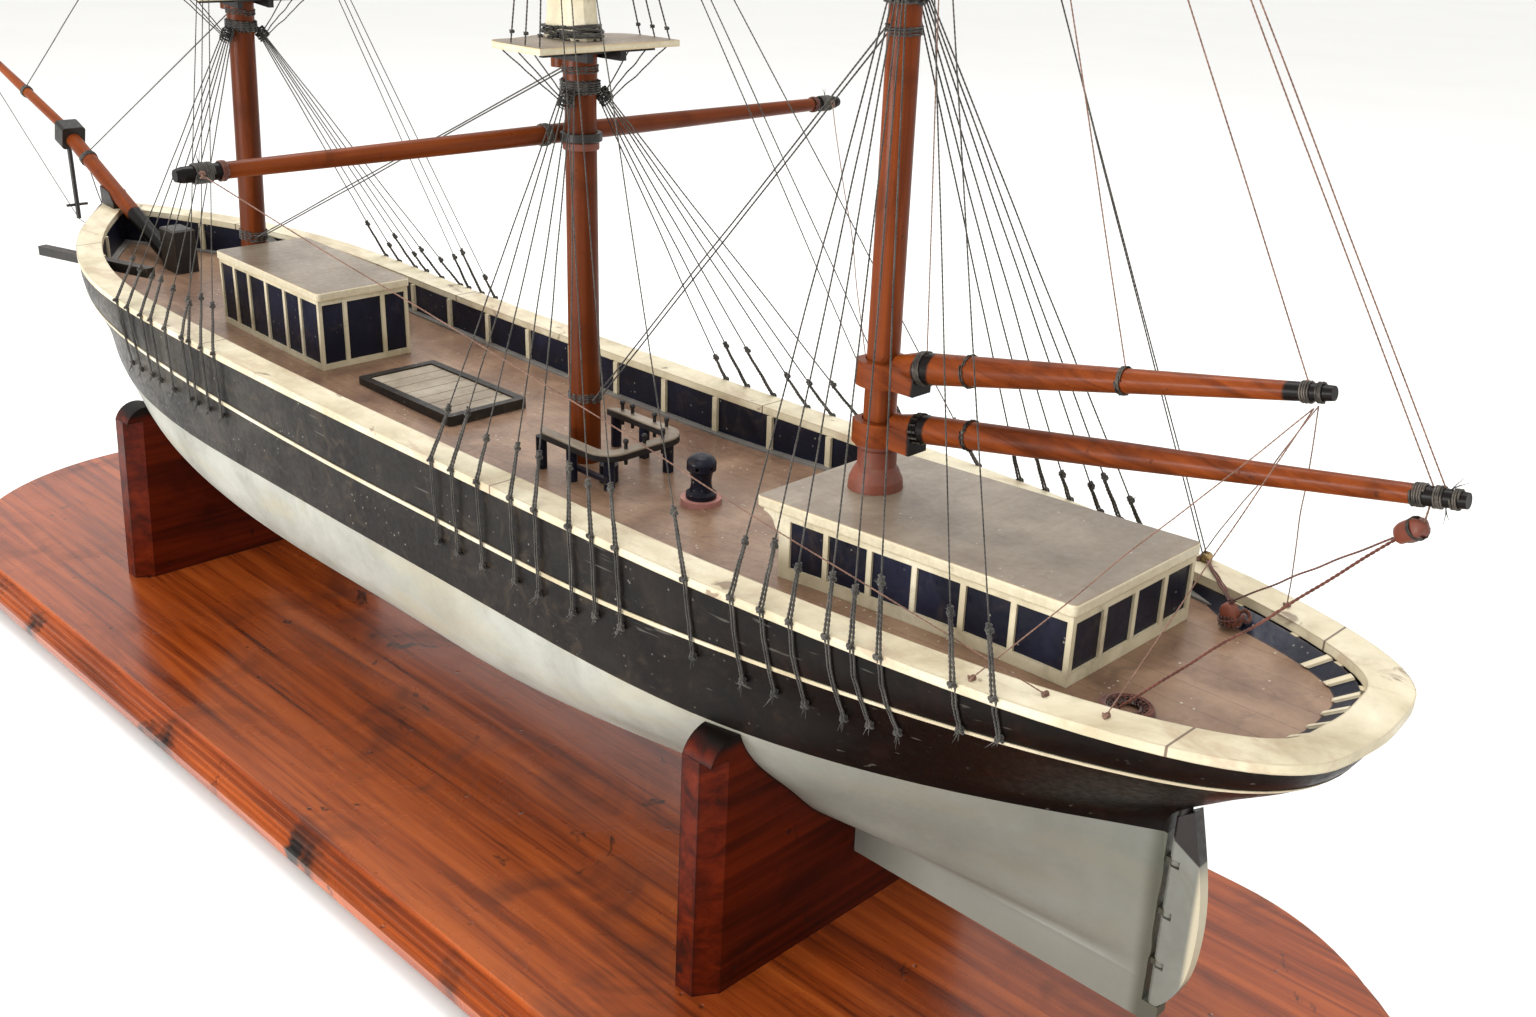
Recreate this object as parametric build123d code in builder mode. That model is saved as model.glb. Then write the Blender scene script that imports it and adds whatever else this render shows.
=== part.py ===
from build123d import *
import math
import os

os.makedirs("parts", exist_ok=True)

# A wooden display model of a three-masted barque on a baseboard, in millimetres.
# +X is towards the bow, +Y is to port and +Z is up.  The origin is on the table,
# under the middle of the baseboard.

# ---------------------------------------------------------------- stand
BOARD_STRAIGHT = 593.0
BOARD_END = 104.0
BOARD_HALF_WIDTH = 116.0
BOARD_TOP = 21.0
BOARD_BOTTOM = 7.0
MOULDING_REACH = 8.5
BATTEN_HALF_WIDTH = 9.0
BATTEN_X = 300.0
CRADLE_THICKNESS = 13.0
AFT_CRADLE_X = -208.0
FORE_CRADLE_X = 216.5

CRADLE_MIDDLES = (AFT_CRADLE_X + CRADLE_THICKNESS / 2, FORE_CRADLE_X + CRADLE_THICKNESS / 2)
CRADLE_SCREW_Y = 38.0
FROM_BELOW = (Align.CENTER, Align.CENTER, Align.MIN)
FROM_ABOVE = (Align.CENTER, Align.CENTER, Align.MAX)

# ---------------------------------------------------------------- hull
KEEL_BOTTOM = 46.6
KEEL_HALF = 2.4
HULL_BOTTOM = 60.8
STERNPOST_X = -324.0
STERNPOST_TOP = 120.4
RUDDER_AXIS_X = -327.3
HEEL_END_X = -329.5
HEEL_TOP = 53.4

# Waterlines of the hull, from above the rail down to the keel: height, half breadth,
# stern end, stem end, then length, power and root of the run, and length and power
# of the entry.
WATERLINES = [
    (186.2, 70.8, -380.4, 375.6, 204, 1.5, 3.7, 192, 2.35),
    (169.4, 70.6, -376.6, 364.8, 204, 1.5, 3.7, 192, 2.35),
    (155.0, 70.2, -368.0, 356.4, 204, 1.5, 3.0, 192, 2.30),
    (144.2, 70.0, -356.0, 350.4, 216, 1.6, 2.2, 204, 2.20),
    (132.2, 69.6, -340.8, 344.4, 204, 1.8, 1.5, 204, 2.20),
    (119.0, 69.0, -324.0, 337.2, 192, 2.3, 1.0, 216, 2.20),
    (104.6, 66.6, -324.0, 327.6, 204, 1.9, 1.0, 216, 2.10),
    (90.2, 60.0, -324.0, 314.4, 228, 1.5, 1.0, 216, 2.00),
    (78.2, 50.4, -324.0, 298.8, 252, 1.3, 1.0, 216, 1.80),
    (68.6, 36.0, -324.0, 282.0, 276, 1.15, 1.0, 216, 1.60),
    (HULL_BOTTOM, 12.0, -324.0, 260.4, 288, 1.1, 1.0, 216, 1.40),
]
RAIL = WATERLINES[1]
CAP_OVERHANG = 0.9
CAP_THICKNESS = 3.0
CAP_WIDTH = 12.2
WALL = 10.0
LINING = 0.8
DECK_THICKNESS = 2.0
WATERWAY_WIDTH = 3.4
WATERWAY_HEIGHT = 0.9
POST_PROUD = 1.3
POST_WIDTH = 2.6
POST_SPACING = 31.5
POST_FIRST_X = 309.5
POST_COUNT = 20
STERN_POST_X = (-312.0, -333.0, -350.0, -361.0)
CATHEAD_SIZE = 4.8
CATHEAD_Z = 170.6
RUDDER_STOCK = 1.9
PIN_R = 0.8
STRIPE_WIDTH = 1.6
STRIPE_PROUD = 0.45

# ---------------------------------------------------------------- masts
FORE_X = 200.5
MAIN_X = -57.6
MIZZEN_X = -205.0
FORE_RAKE = 4.5
MAST_HEEL = 128.0
TOP_Z = 305.0
TOP_THICKNESS = 2.2
MIZZEN_HOUNDS = 337.0

# ---------------------------------------------------------------- rigging
SHROUD_R = 0.5
STAY_R = 0.5
LINE_R = 0.3


def sheer(x):
    """Height of the top of the cap rail."""
    if x > 0:
        return 168.2 + 13.5 * (x / 365) ** 2
    return 168.2 + 1.2 * min(1.0, -x / 220) ** 2


def deck_height(x):
    """Height of the deck's upper face."""
    if x > 0:
        return 149.8 + 13.0 * (x / 370) ** 1.5
    t = min(1.0, max(0.0, (-x - 60) / 240))
    return 149.8 + 12.5 * t * t * (3 - 2 * t)


def paint_height(x):
    """Height where the black topsides meet the grey bottom."""
    if x > 0:
        return 119.5 + 13.0 * (x / 360) ** 2
    return 119.5 - 6.5 * (x / 324) ** 4


def stripe_height(x):
    """Height of the middle of the cream stripe."""
    if x > 0:
        return sheer(x) - 24.3 + 5.6 * (x / 220) ** 1.5
    return sheer(x) - 24.3 + 10.5 * (max(0.0, -x - 80) / 258) ** 2


def stripe_low(x):
    return stripe_height(x) - STRIPE_WIDTH / 2


def stripe_high(x):
    return stripe_height(x) + STRIPE_WIDTH / 2


def deck_under(x):
    return deck_height(x) - DECK_THICKNESS


def cap_under(x):
    return sheer(x) - CAP_THICKNESS


def waterway_top(x):
    return deck_height(x) + WATERWAY_HEIGHT


def half_breadth(x, line, grow=0.0):
    """Half breadth of one waterline at x."""
    height, beam, stern, stem, run, run_power, run_root, entry, entry_power = line
    t_run = min(1.0, max(0.0, (x - stern) / run))
    t_entry = min(1.0, max(0.0, (stem - x) / entry))
    run_part = (1 - (1 - t_run) ** run_power) ** (1 / run_root)
    entry_part = 1 - (1 - t_entry) ** entry_power
    return KEEL_HALF + grow + (beam - KEEL_HALF) * run_part * entry_part


def hull_breadth(x, z):
    """Half breadth of the hull's outside at x and height z, between the waterlines."""
    for upper, lower in zip(WATERLINES, WATERLINES[1:]):
        if lower[0] <= z <= upper[0]:
            t = (z - lower[0]) / (upper[0] - lower[0])
            return half_breadth(x, lower) * (1 - t) + half_breadth(x, upper) * t
    return 0.0


def waterline_points(line, grow, count=15):
    """Points of one half waterline, from the stern to the stem, close together at both ends."""
    stern = line[2] - grow
    stem = line[3] + grow
    points = []
    for i in range(count):
        s = (1 - math.cos(math.pi * i / (count - 1))) / 2
        x = stern + (stem - stern) * s
        inside = min(max(x, line[2]), line[3])
        points.append((x, half_breadth(inside, line, grow)))
    return points


def hull_form(grow=0.0):
    """The hull's outside as one solid, grown sideways by a skin's thickness."""
    with BuildPart() as form:
        for line in WATERLINES:
            points = waterline_points(line, grow)
            other = [(x, -y) for x, y in points]
            with BuildSketch(Plane.XY.offset(line[0])):
                with BuildLine():
                    Spline(points)
                    Line(points[-1], other[-1])
                    Spline(other)
                    Line(other[0], points[0])
                make_face()
        loft()
        with Locations((STERNPOST_X - 0.05, 0, HULL_BOTTOM)):
            Box(16, 2 * KEEL_HALF, STERNPOST_TOP - HULL_BOTTOM, align=(Align.MIN, Align.CENTER, Align.MIN))
    return form.part


def rail_points(inset, count=34):
    """Half outline of the rail moved in by an inset, from the stern to the bow, on the centre line at both ends."""
    raw = []
    for i in range(count + 1):
        s = (1 - math.cos(math.pi * i / count)) / 2
        x = RAIL[2] + (RAIL[3] - RAIL[2]) * s
        raw.append((x, half_breadth(x, RAIL) - KEEL_HALF * (1 - min(1.0, 12 * s, 12 * (1 - s)))))
    moved = [(RAIL[2] + inset, 0.0)]
    for (x0, y0), (x1, y1) in zip(raw, raw[1:]):
        length = math.hypot(x1 - x0, y1 - y0)
        x = (x0 + x1) / 2 + inset * (y1 - y0) / length
        y = (y0 + y1) / 2 - inset * (x1 - x0) / length
        if y > 2.5 and x > moved[-1][0] + 0.5:
            moved.append((x, y))
    (xa, ya), (xb, yb) = moved[-2], moved[-1]
    moved.append((xb + yb * (xb - xa) / (ya - yb), 0.0))
    return moved


def rail_plan(inset, bottom, top):
    """The rail's outline moved in by an inset, as an upright prism."""
    points = rail_points(inset)
    other = [(x, -y) for x, y in reversed(points)]
    with BuildPart() as prism:
        with BuildSketch(Plane.XY.offset(bottom)):
            with BuildLine():
                Spline(other[:-1] + points)
            make_face()
        extrude(amount=top - bottom)
    return prism.part


def band(lower, upper, start=-400.0, end=400.0, steps=20):
    """A slab across the whole hull between two height functions."""
    xs = [start + (end - start) * i / steps for i in range(steps + 1)]
    low = [(x, lower(x)) for x in xs]
    high = [(x, upper(x)) for x in reversed(xs)]
    with BuildPart() as slab:
        with BuildSketch(Plane.XZ):
            with BuildLine():
                Spline(low)
                Line(low[-1], high[0])
                Spline(high)
                Line(high[-1], low[0])
            make_face()
        extrude(amount=150, both=True)
    return slab.part


def floor_at(height):
    return lambda x: height


def save(piece, name):
    piece.part.label = name
    export_step(piece.part, "parts/" + name + ".step")

fore_direction = Vector(-math.sin(math.radians(FORE_RAKE)), 0, math.cos(math.radians(FORE_RAKE)))
MAST_PLANES = {
    "fore": Plane(origin=(FORE_X, 0, 155), x_dir=(fore_direction.Z, 0, -fore_direction.X), z_dir=fore_direction),
    "main": Plane(origin=(MAIN_X, 0, 155)),
    "mizzen": Plane(origin=(MIZZEN_X, 0, 155)),
}
MAST_RADIUS = {"fore": 6.0, "main": 6.0, "mizzen": 5.3}

# ---------------------------------------------------------------- rigging plan
# Where each shroud or backstay crosses the rail (x), and the height of its foot on the hull.
SHROUDS = {
    "fore": [(195.7, 141), (183.8, 141), (169.6, 142), (159.7, 142), (145.9, 141), (129.7, 141)],
    "main": [(-60.6, 136), (-73.1, 136), (-88.3, 136), (-107.4, 137), (-120.7, 137), (-138.7, 137)],
    "mizzen": [(-211.8, 139), (-223.4, 139), (-234.0, 139), (-247.0, 139), (-255.5, 140), (-264.6, 141)],
}
BACKSTAYS = {
    "fore": [(123.0, 141), (112.0, 141), (101.0, 141)],
    "main": [(-150.0, 140), (-162.0, 140), (-193.0, 141)],
    "mizzen": [(-287.6, 153), (-299.5, 155)],
}
KNOT_R = 1.15
CHAIN_PIN_R = 0.6
RAIL_GAP = 0.12
RAIL_LIFT = 0.42
SKIN_GAP = 0.6


def rail_lean(x):
    """How much longer a sideways step is than the same step square to the rail's run."""
    slope = (half_breadth(x + 1, RAIL) - half_breadth(x - 1, RAIL)) / 2
    return math.hypot(1, slope)


def over_rail(x, side):
    """The point where a thread bends over the outer edge of the cap rail."""
    reach = (CAP_OVERHANG + SHROUD_R + RAIL_GAP) * rail_lean(x)
    return (x, side * (half_breadth(x, RAIL) + reach), sheer(x) + RAIL_LIFT)


def skin_breadth(x, z):
    """Half breadth of the finished hull form at x and height z."""
    inside = hull_outer.intersect(Edge.make_line((x, 0.5, z), (x, 90, z)))
    return max(edge.bounding_box().max.Y for edge in inside)


def foot_on_hull(x, side, z):
    """The middle of the knot at a thread's foot, just off the hull's side."""
    return (x, side * (skin_breadth(x, z) + (KNOT_R + 0.12) * rail_lean(x)), z)


def down_the_side(x, side, z):
    """Points from the rail's edge to a thread's foot, kept clear of the cap and of the hull where it swells."""
    rail = over_rail(x, 1)
    foot = foot_on_hull(x, 1, z)
    points = [rail]
    for share in (0.28, 0.6):
        height = rail[2] + (foot[2] - rail[2]) * share
        straight = rail[1] + (foot[1] - rail[1]) * share
        clear = skin_breadth(x, height) + (SHROUD_R + SKIN_GAP) * rail_lean(x)
        points.append((x, max(straight, clear), height))
    points.append(foot)
    share_of_cap = (rail[2] - cap_under(x)) / (rail[2] - points[1][2])
    if (rail[1] - points[1][1]) * share_of_cap > RAIL_GAP / 2:
        points.insert(1, (x, rail[1], cap_under(x) - SHROUD_R))
    return [(px, side * py, pz) for px, py, pz in points]


def rope(points, radius, knots=()):
    """A tight thread through its points, with a ball at each bend and a knot at the named points."""
    with BuildPart() as thread:
        for start, end in zip(points, points[1:]):
            run = Vector(*end) - Vector(*start)
            with BuildSketch(Plane(origin=start, z_dir=run)):
                Circle(radius)
            extrude(amount=run.length)
        for point in points[1:-1]:
            with Locations(point):
                Sphere(radius)
        for point in knots:
            with Locations(point):
                Sphere(KNOT_R)
    return thread.part


def peg(x, side, z):
    """The pin that holds a thread's foot, let into the hull's side."""
    with BuildPart() as pin:
        with BuildSketch(Plane(origin=(x, side * (skin_breadth(x, z) - 4), z), z_dir=(0, side, 0))):
            Circle(CHAIN_PIN_R)
        extrude(amount=4 + KNOT_R)
    return pin.part


def shroud(mast_point, x, side, z):
    """One shroud from the mast, over the rail and down to its knot on the hull."""
    outside = down_the_side(x, side, z)
    points = [(mast_point[0], side * mast_point[1], mast_point[2])] + outside
    return rope(points, SHROUD_R, knots=[outside[-1]]) + peg(x, side, z)


def along_mast(name, height, ahead=0.0, across=0.0):
    """A point given by its height along a mast, and how far it is ahead of and beside the middle."""
    plane = MAST_PLANES[name]
    point = plane.origin + plane.z_dir * (height - 155) + plane.x_dir * ahead + Vector(0, across, 0)
    return (point.X, point.Y, point.Z)


def mast_ring(name, bottom, height, inner, outer, ahead=0.0):
    """A ring of served thread or a band round a mast."""
    plane = MAST_PLANES[name]
    base = Plane(origin=along_mast(name, bottom, ahead), z_dir=plane.z_dir)
    with BuildPart() as ring:
        with BuildSketch(base):
            Circle(outer)
            Circle(inner, mode=Mode.SUBTRACT)
        extrude(amount=height)
        fillet(ring.edges().filter_by(GeomType.CIRCLE).filter_by(lambda e: e.radius > outer - 0.01), 0.45)
    return ring.part


# ================================================================ stand
def board_outline(inset):
    """Half ellipses joined by straight sides."""
    half = BOARD_STRAIGHT / 2
    reach = BOARD_END - inset
    width = BOARD_HALF_WIDTH - inset
    with BuildSketch() as outline:
        with Locations((-half, 0), (half, 0)):
            Ellipse(reach, width)
        Rectangle(2 * half, 2 * width)
    return outline.sketch


BOARD_LAYERS = [
    (-MOULDING_REACH, BOARD_BOTTOM, 4.0),
    (-MOULDING_REACH + 2.5, BOARD_BOTTOM + 4.0, 2.0),
    (-4.6, BOARD_BOTTOM + 6.0, 2.0),
    (-2.6, BOARD_BOTTOM + 8.0, 2.0),
]
board_sketches = [board_outline(inset) for inset, bottom, height in BOARD_LAYERS]
board_top_sketch = board_outline(0)

with BuildPart() as baseboard:
    for (inset, bottom, height), outline in zip(BOARD_LAYERS, board_sketches):
        with BuildSketch(Plane.XY.offset(bottom)):
            add(outline)
        extrude(amount=height)
    with BuildSketch(Plane.XY.offset(BOARD_BOTTOM + 10.0)):
        add(board_top_sketch)
    extrude(amount=BOARD_TOP - BOARD_BOTTOM - 10.0)
    for x in CRADLE_MIDDLES:
        with Locations(*[(x, y, BOARD_BOTTOM) for y in (-CRADLE_SCREW_Y, 0, CRADLE_SCREW_Y)]):
            Cylinder(1.6, 40, mode=Mode.SUBTRACT)
            Cylinder(3.4, 5, mode=Mode.SUBTRACT)
save(baseboard, "baseboard")

with BuildPart() as battens:
    for x in (-BATTEN_X, 0, BATTEN_X):
        with BuildSketch(Plane.XY.offset(0)):
            with Locations((x, 0)):
                RectangleRounded(2 * BATTEN_HALF_WIDTH, 196, 3)
        extrude(amount=BOARD_BOTTOM)
save(battens, "board_battens")

# ================================================================ hull
hull_outer = hull_form()
hull_skin = hull_form(STRIPE_PROUD)
hull_clear = hull_form(0.12)

well = rail_plan(WALL, 100, 200)
well_band = band(deck_under, floor_at(220))
def mast_holes(extra):
    """Round holes for the three mast heels."""
    with BuildPart() as holes:
        for name, plane in MAST_PLANES.items():
            with BuildSketch(plane.offset(MAST_HEEL - 155)):
                Circle(MAST_RADIUS[name] + extra)
            extrude(amount=400)
    return holes.part


holes_for_masts = mast_holes(0.0)
holes_in_deck = mast_holes(0.1)
below_paint = band(floor_at(20), paint_height)
above_paint = band(paint_height, floor_at(220))
above_cap = band(cap_under, floor_at(220))
under_deck = band(floor_at(100), deck_height)
under_rail = band(floor_at(100), sheer)
well_hollow = well & well_band

# Square catheads, let through the bulwark on both bows.
with BuildPart() as catheads:
    for side in (-1, 1):
        start = Vector(239, side * 35, CATHEAD_Z)
        end = Vector(317.5, side * 56.5, CATHEAD_Z)
        with BuildSketch(Plane(origin=start, z_dir=end - start, x_dir=(0, 0, 1))):
            Rectangle(CATHEAD_SIZE, CATHEAD_SIZE)
        extrude(amount=(end - start).length)
save(catheads, "catheads")
cathead_bars = catheads.part

with BuildPart() as hull_dowels:
    with Locations((-140, 0, 104), (20, 0, 104), (150, 0, 104)):
        Cylinder(3, 32, align=FROM_BELOW)
save(hull_dowels, "hull_dowels")
hull_dowels_shape = hull_dowels.part

# Screws up through the board: two into each cradle, and a long one into the keel.
with BuildPart() as stand_screws:
    for x in CRADLE_MIDDLES:
        for y, length in ((-CRADLE_SCREW_Y, 30), (0, 68), (CRADLE_SCREW_Y, 30)):
            with Locations((x, y, BOARD_BOTTOM + 0.2)):
                Cylinder(3.2, 2.3, align=FROM_BELOW)
                Cylinder(1.5 if y else 1.2, length, align=FROM_BELOW)
save(stand_screws, "stand_screws")

with BuildPart() as keel_bolt_holes_part:
    with Locations(*[(x, 0, BOARD_BOTTOM + 0.2) for x in CRADLE_MIDDLES]):
        Cylinder(1.2, 68, align=FROM_BELOW)
keel_bolt_holes = keel_bolt_holes_part.part

chain_pins = Compound(
    [
        peg(x, side, z)
        for group in (SHROUDS, BACKSTAYS)
        for feet in group.values()
        for x, z in feet
        for side in (-1, 1)
    ]
)

with BuildPart() as hull_upper:
    add(hull_outer)
    add(below_paint, mode=Mode.SUBTRACT)
    add(above_cap, mode=Mode.SUBTRACT)
    add(well_hollow, mode=Mode.SUBTRACT)
    add(holes_for_masts, mode=Mode.SUBTRACT)
    with Locations((RUDDER_AXIS_X, 0, 118)):
        Cylinder(RUDDER_STOCK + 0.06, 13, align=FROM_BELOW, mode=Mode.SUBTRACT)
    add(cathead_bars, mode=Mode.SUBTRACT)
    add(hull_dowels_shape, mode=Mode.SUBTRACT)
    add(chain_pins, mode=Mode.SUBTRACT)
save(hull_upper, "hull_upper")

with BuildPart() as hull_lower:
    add(hull_outer)
    add(above_paint, mode=Mode.SUBTRACT)
    add(hull_dowels_shape, mode=Mode.SUBTRACT)
    add(keel_bolt_holes, mode=Mode.SUBTRACT)
save(hull_lower, "hull_lower")

with BuildPart() as keel:
    with BuildSketch(Plane.XZ):
        with BuildLine():
            Line((HEEL_END_X, HEEL_TOP), (STERNPOST_X, HEEL_TOP))
            Line((STERNPOST_X, HEEL_TOP), (STERNPOST_X, HULL_BOTTOM))
            Line((STERNPOST_X, HULL_BOTTOM), (260.4, HULL_BOTTOM))
            Spline((260.4, HULL_BOTTOM), (245, 52), (228, KEEL_BOTTOM), tangents=[(-0.4, -1), (-1, -0.15)])
            Line((228, KEEL_BOTTOM), (HEEL_END_X + 4, KEEL_BOTTOM))
            Line((HEEL_END_X + 4, KEEL_BOTTOM), (HEEL_END_X, HEEL_TOP - 3.5))
            Line((HEEL_END_X, HEEL_TOP - 3.5), (HEEL_END_X, HEEL_TOP))
        make_face()
    extrude(amount=KEEL_HALF, both=True)
    with Locations((RUDDER_AXIS_X, 0, HEEL_TOP)):
        Cylinder(PIN_R + 0.06, 4.2, align=FROM_ABOVE, mode=Mode.SUBTRACT)
    add(keel_bolt_holes, mode=Mode.SUBTRACT)
save(keel, "keel")


stripe_strip = hull_skin & band(stripe_low, stripe_high)
deck_board = well & band(deck_under, deck_height)
bulwark_band = band(deck_height, cap_under)
lining_outer = well & bulwark_band
lining_inner = rail_plan(WALL + LINING, 100, 200)
cap_strip = rail_plan(-CAP_OVERHANG, 150, 200) & band(cap_under, sheer)
cap_inner = rail_plan(CAP_WIDTH - CAP_OVERHANG, 140, 210)

with BuildPart() as hull_stripe:
    add(stripe_strip)
    add(hull_outer, mode=Mode.SUBTRACT)
save(hull_stripe, "hull_stripe")

with BuildPart() as deck:
    add(deck_board)
    add(holes_in_deck, mode=Mode.SUBTRACT)
save(deck, "deck")

with BuildPart() as bulwark_lining:
    add(lining_outer)
    add(lining_inner, mode=Mode.SUBTRACT)
    add(cathead_bars, mode=Mode.SUBTRACT)
save(bulwark_lining, "bulwark_lining")

with BuildPart() as cap_rail:
    add(cap_strip)
    add(cap_inner, mode=Mode.SUBTRACT)
    add(cathead_bars, mode=Mode.SUBTRACT)
save(cap_rail, "cap_rail")

# Waterway along the foot of the bulwark, and the cream stanchions standing on it.
waterway_strip = lining_inner & band(deck_height, waterway_top)
waterway_inner = rail_plan(WALL + LINING + WATERWAY_WIDTH, 100, 210)


def lining_face(x):
    """Half breadth of the lining's inner face, between the points of its outline."""
    for (x0, y0), (x1, y1) in zip(LINING_POINTS, LINING_POINTS[1:]):
        if x0 <= x <= x1:
            return y0 + (y1 - y0) * (x - x0) / (x1 - x0)
    return 0.0


def post(x, side):
    """A cream stanchion against the lining, square to the run of the rail."""
    slope = lining_face(x + 1.3) - lining_face(x - 1.3)
    angle = math.degrees(math.atan2(slope, 2.6))
    bottom = waterway_top(x) + 0.1
    height = cap_under(x) - 0.1 - bottom
    inward = 0.12 + POST_PROUD / 2
    place = Plane(
        origin=(x + inward * math.sin(math.radians(angle)),
                side * (lining_face(x) - inward * math.cos(math.radians(angle))), bottom),
        x_dir=(math.cos(math.radians(angle)), side * math.sin(math.radians(angle)), 0),
        z_dir=(0, 0, 1),
    )
    with BuildPart() as one:
        with BuildSketch(place):
            Rectangle(POST_WIDTH, POST_PROUD)
        extrude(amount=height)
    return one.part


LINING_POINTS = rail_points(WALL + LINING)
side_posts = [post(POST_FIRST_X - i * POST_SPACING, side) for i in range(POST_COUNT) for side in (-1, 1)]
stern_posts = [post(x, side) for x in STERN_POST_X for side in (-1, 1)]

with BuildPart() as waterway:
    add(waterway_strip)
    add(waterway_inner, mode=Mode.SUBTRACT)
save(waterway, "waterway")

with BuildPart() as stanchions:
    for piece in side_posts + stern_posts:
        add(piece)
    add(cathead_bars, mode=Mode.SUBTRACT)
save(stanchions, "bulwark_stanchions")


# ================================================================ cradles
def cradle(x, base_half, arm_half, arm_top, tip_inner, tip_rise):
    """A board across the ship with rounded arms, cut out to the hull and notched for the keel."""
    with BuildPart() as plate:
        with BuildSketch(Plane.YZ.offset(x)):
            with BuildLine():
                Polyline(
                    (-base_half, BOARD_TOP),
                    (base_half, BOARD_TOP),
                    (arm_half, arm_top),
                    (-arm_half, arm_top),
                    close=True,
                )
            make_face()
        extrude(amount=CRADLE_THICKNESS)
        sides = plate.edges().filter_by(lambda e: abs(e.center().Y) > arm_half - 2 and e.length > 50)
        chamfer(sides.group_by(Axis.X)[0], length=5, length2=8)
        for side in (-1, 1):
            with BuildSketch(Plane.YZ.offset(x)):
                with BuildLine():
                    ThreePointArc(
                        (side * (arm_half - 0.2), arm_top),
                        (side * (tip_inner + arm_half) / 2, arm_top + tip_rise),
                        (side * tip_inner, arm_top),
                    )
                    Line((side * tip_inner, arm_top), (side * (arm_half - 0.2), arm_top))
                make_face()
            extrude(amount=CRADLE_THICKNESS)
        add(hull_clear, mode=Mode.SUBTRACT)
        with Locations((x + CRADLE_THICKNESS / 2, 0, KEEL_BOTTOM)):
            Box(30, 2 * KEEL_HALF + 0.2, 40, align=FROM_BELOW, mode=Mode.SUBTRACT)
            Cylinder(1.2, 60, mode=Mode.SUBTRACT)
        for y in (-CRADLE_SCREW_Y, CRADLE_SCREW_Y):
            with Locations((x + CRADLE_THICKNESS / 2, y, BOARD_TOP)):
                Cylinder(1.5, 2 * 16.2, mode=Mode.SUBTRACT)
    return plate


cradle_aft = cradle(AFT_CRADLE_X, 75.0, 73.2, 110.0, 52.0, 7.5)
save(cradle_aft, "cradle_aft")
cradle_fore = cradle(FORE_CRADLE_X, 70.0, 66.0, 104.0, 46.0, 7.0)
save(cradle_fore, "cradle_fore")

# ================================================================ rudder
GUDGEON_Z = (68.0, 86.0, 104.0)
GUDGEON_R = 1.6
RUDDER_FRONT = -325.3
RUDDER_TOP = 118.8

with BuildPart() as rudder:
    with BuildSketch(Plane.XZ):
        with BuildLine():
            Line((RUDDER_FRONT, HEEL_TOP), (RUDDER_FRONT, RUDDER_TOP))
            Line((RUDDER_FRONT, RUDDER_TOP), (-331.2, 123.4))
            Spline((-331.2, 123.4), (-334.4, 110), (-337.2, 94), (-337.6, 79), (-335.0, 63.5), (-328.6, HEEL_TOP))
            Line((-328.6, HEEL_TOP), (RUDDER_FRONT, HEEL_TOP))
        make_face()
    extrude(amount=2.2, both=True)
    chamfer(rudder.edges().filter_by(Axis.Z).group_by(Axis.X)[-1], 1.2)
    with Locations((RUDDER_AXIS_X, 0, RUDDER_TOP)):
        Cylinder(RUDDER_STOCK, 11.2, align=FROM_BELOW)
    with Locations((RUDDER_AXIS_X, 0, HEEL_TOP)):
        Cylinder(PIN_R, 3.6, align=FROM_ABOVE)
    for z in GUDGEON_Z:
        with Locations((RUDDER_AXIS_X - GUDGEON_R - 0.15, 0, z)):
            Box(7.0, 8, 2.6, align=(Align.MIN, Align.CENTER, Align.CENTER), mode=Mode.SUBTRACT)
        with Locations((RUDDER_AXIS_X, 0, z)):
            Cylinder(PIN_R, 9.0)
save(rudder, "rudder")

with BuildPart() as rudder_gudgeons:
    for z in GUDGEON_Z:
        with BuildSketch(Plane.XY.offset(z - 1.0)):
            with Locations((RUDDER_AXIS_X, 0)):
                Circle(GUDGEON_R)
            with Locations(((STERNPOST_X + RUDDER_AXIS_X) / 2, 0)):
                Rectangle(STERNPOST_X - RUDDER_AXIS_X, 2 * GUDGEON_R)
            with Locations((RUDDER_AXIS_X, 0)):
                Circle(PIN_R + 0.06, mode=Mode.SUBTRACT)
        extrude(amount=2.0)
    add(hull_outer, mode=Mode.SUBTRACT)
save(rudder_gudgeons, "rudder_gudgeons")

# ================================================================ deckhouses
FRAME_PROUD = 0.8
ROOF_OVERHANG = 1.0


def roof_line(x, x0, z0, slope):
    return z0 + (x - x0) * slope


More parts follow.
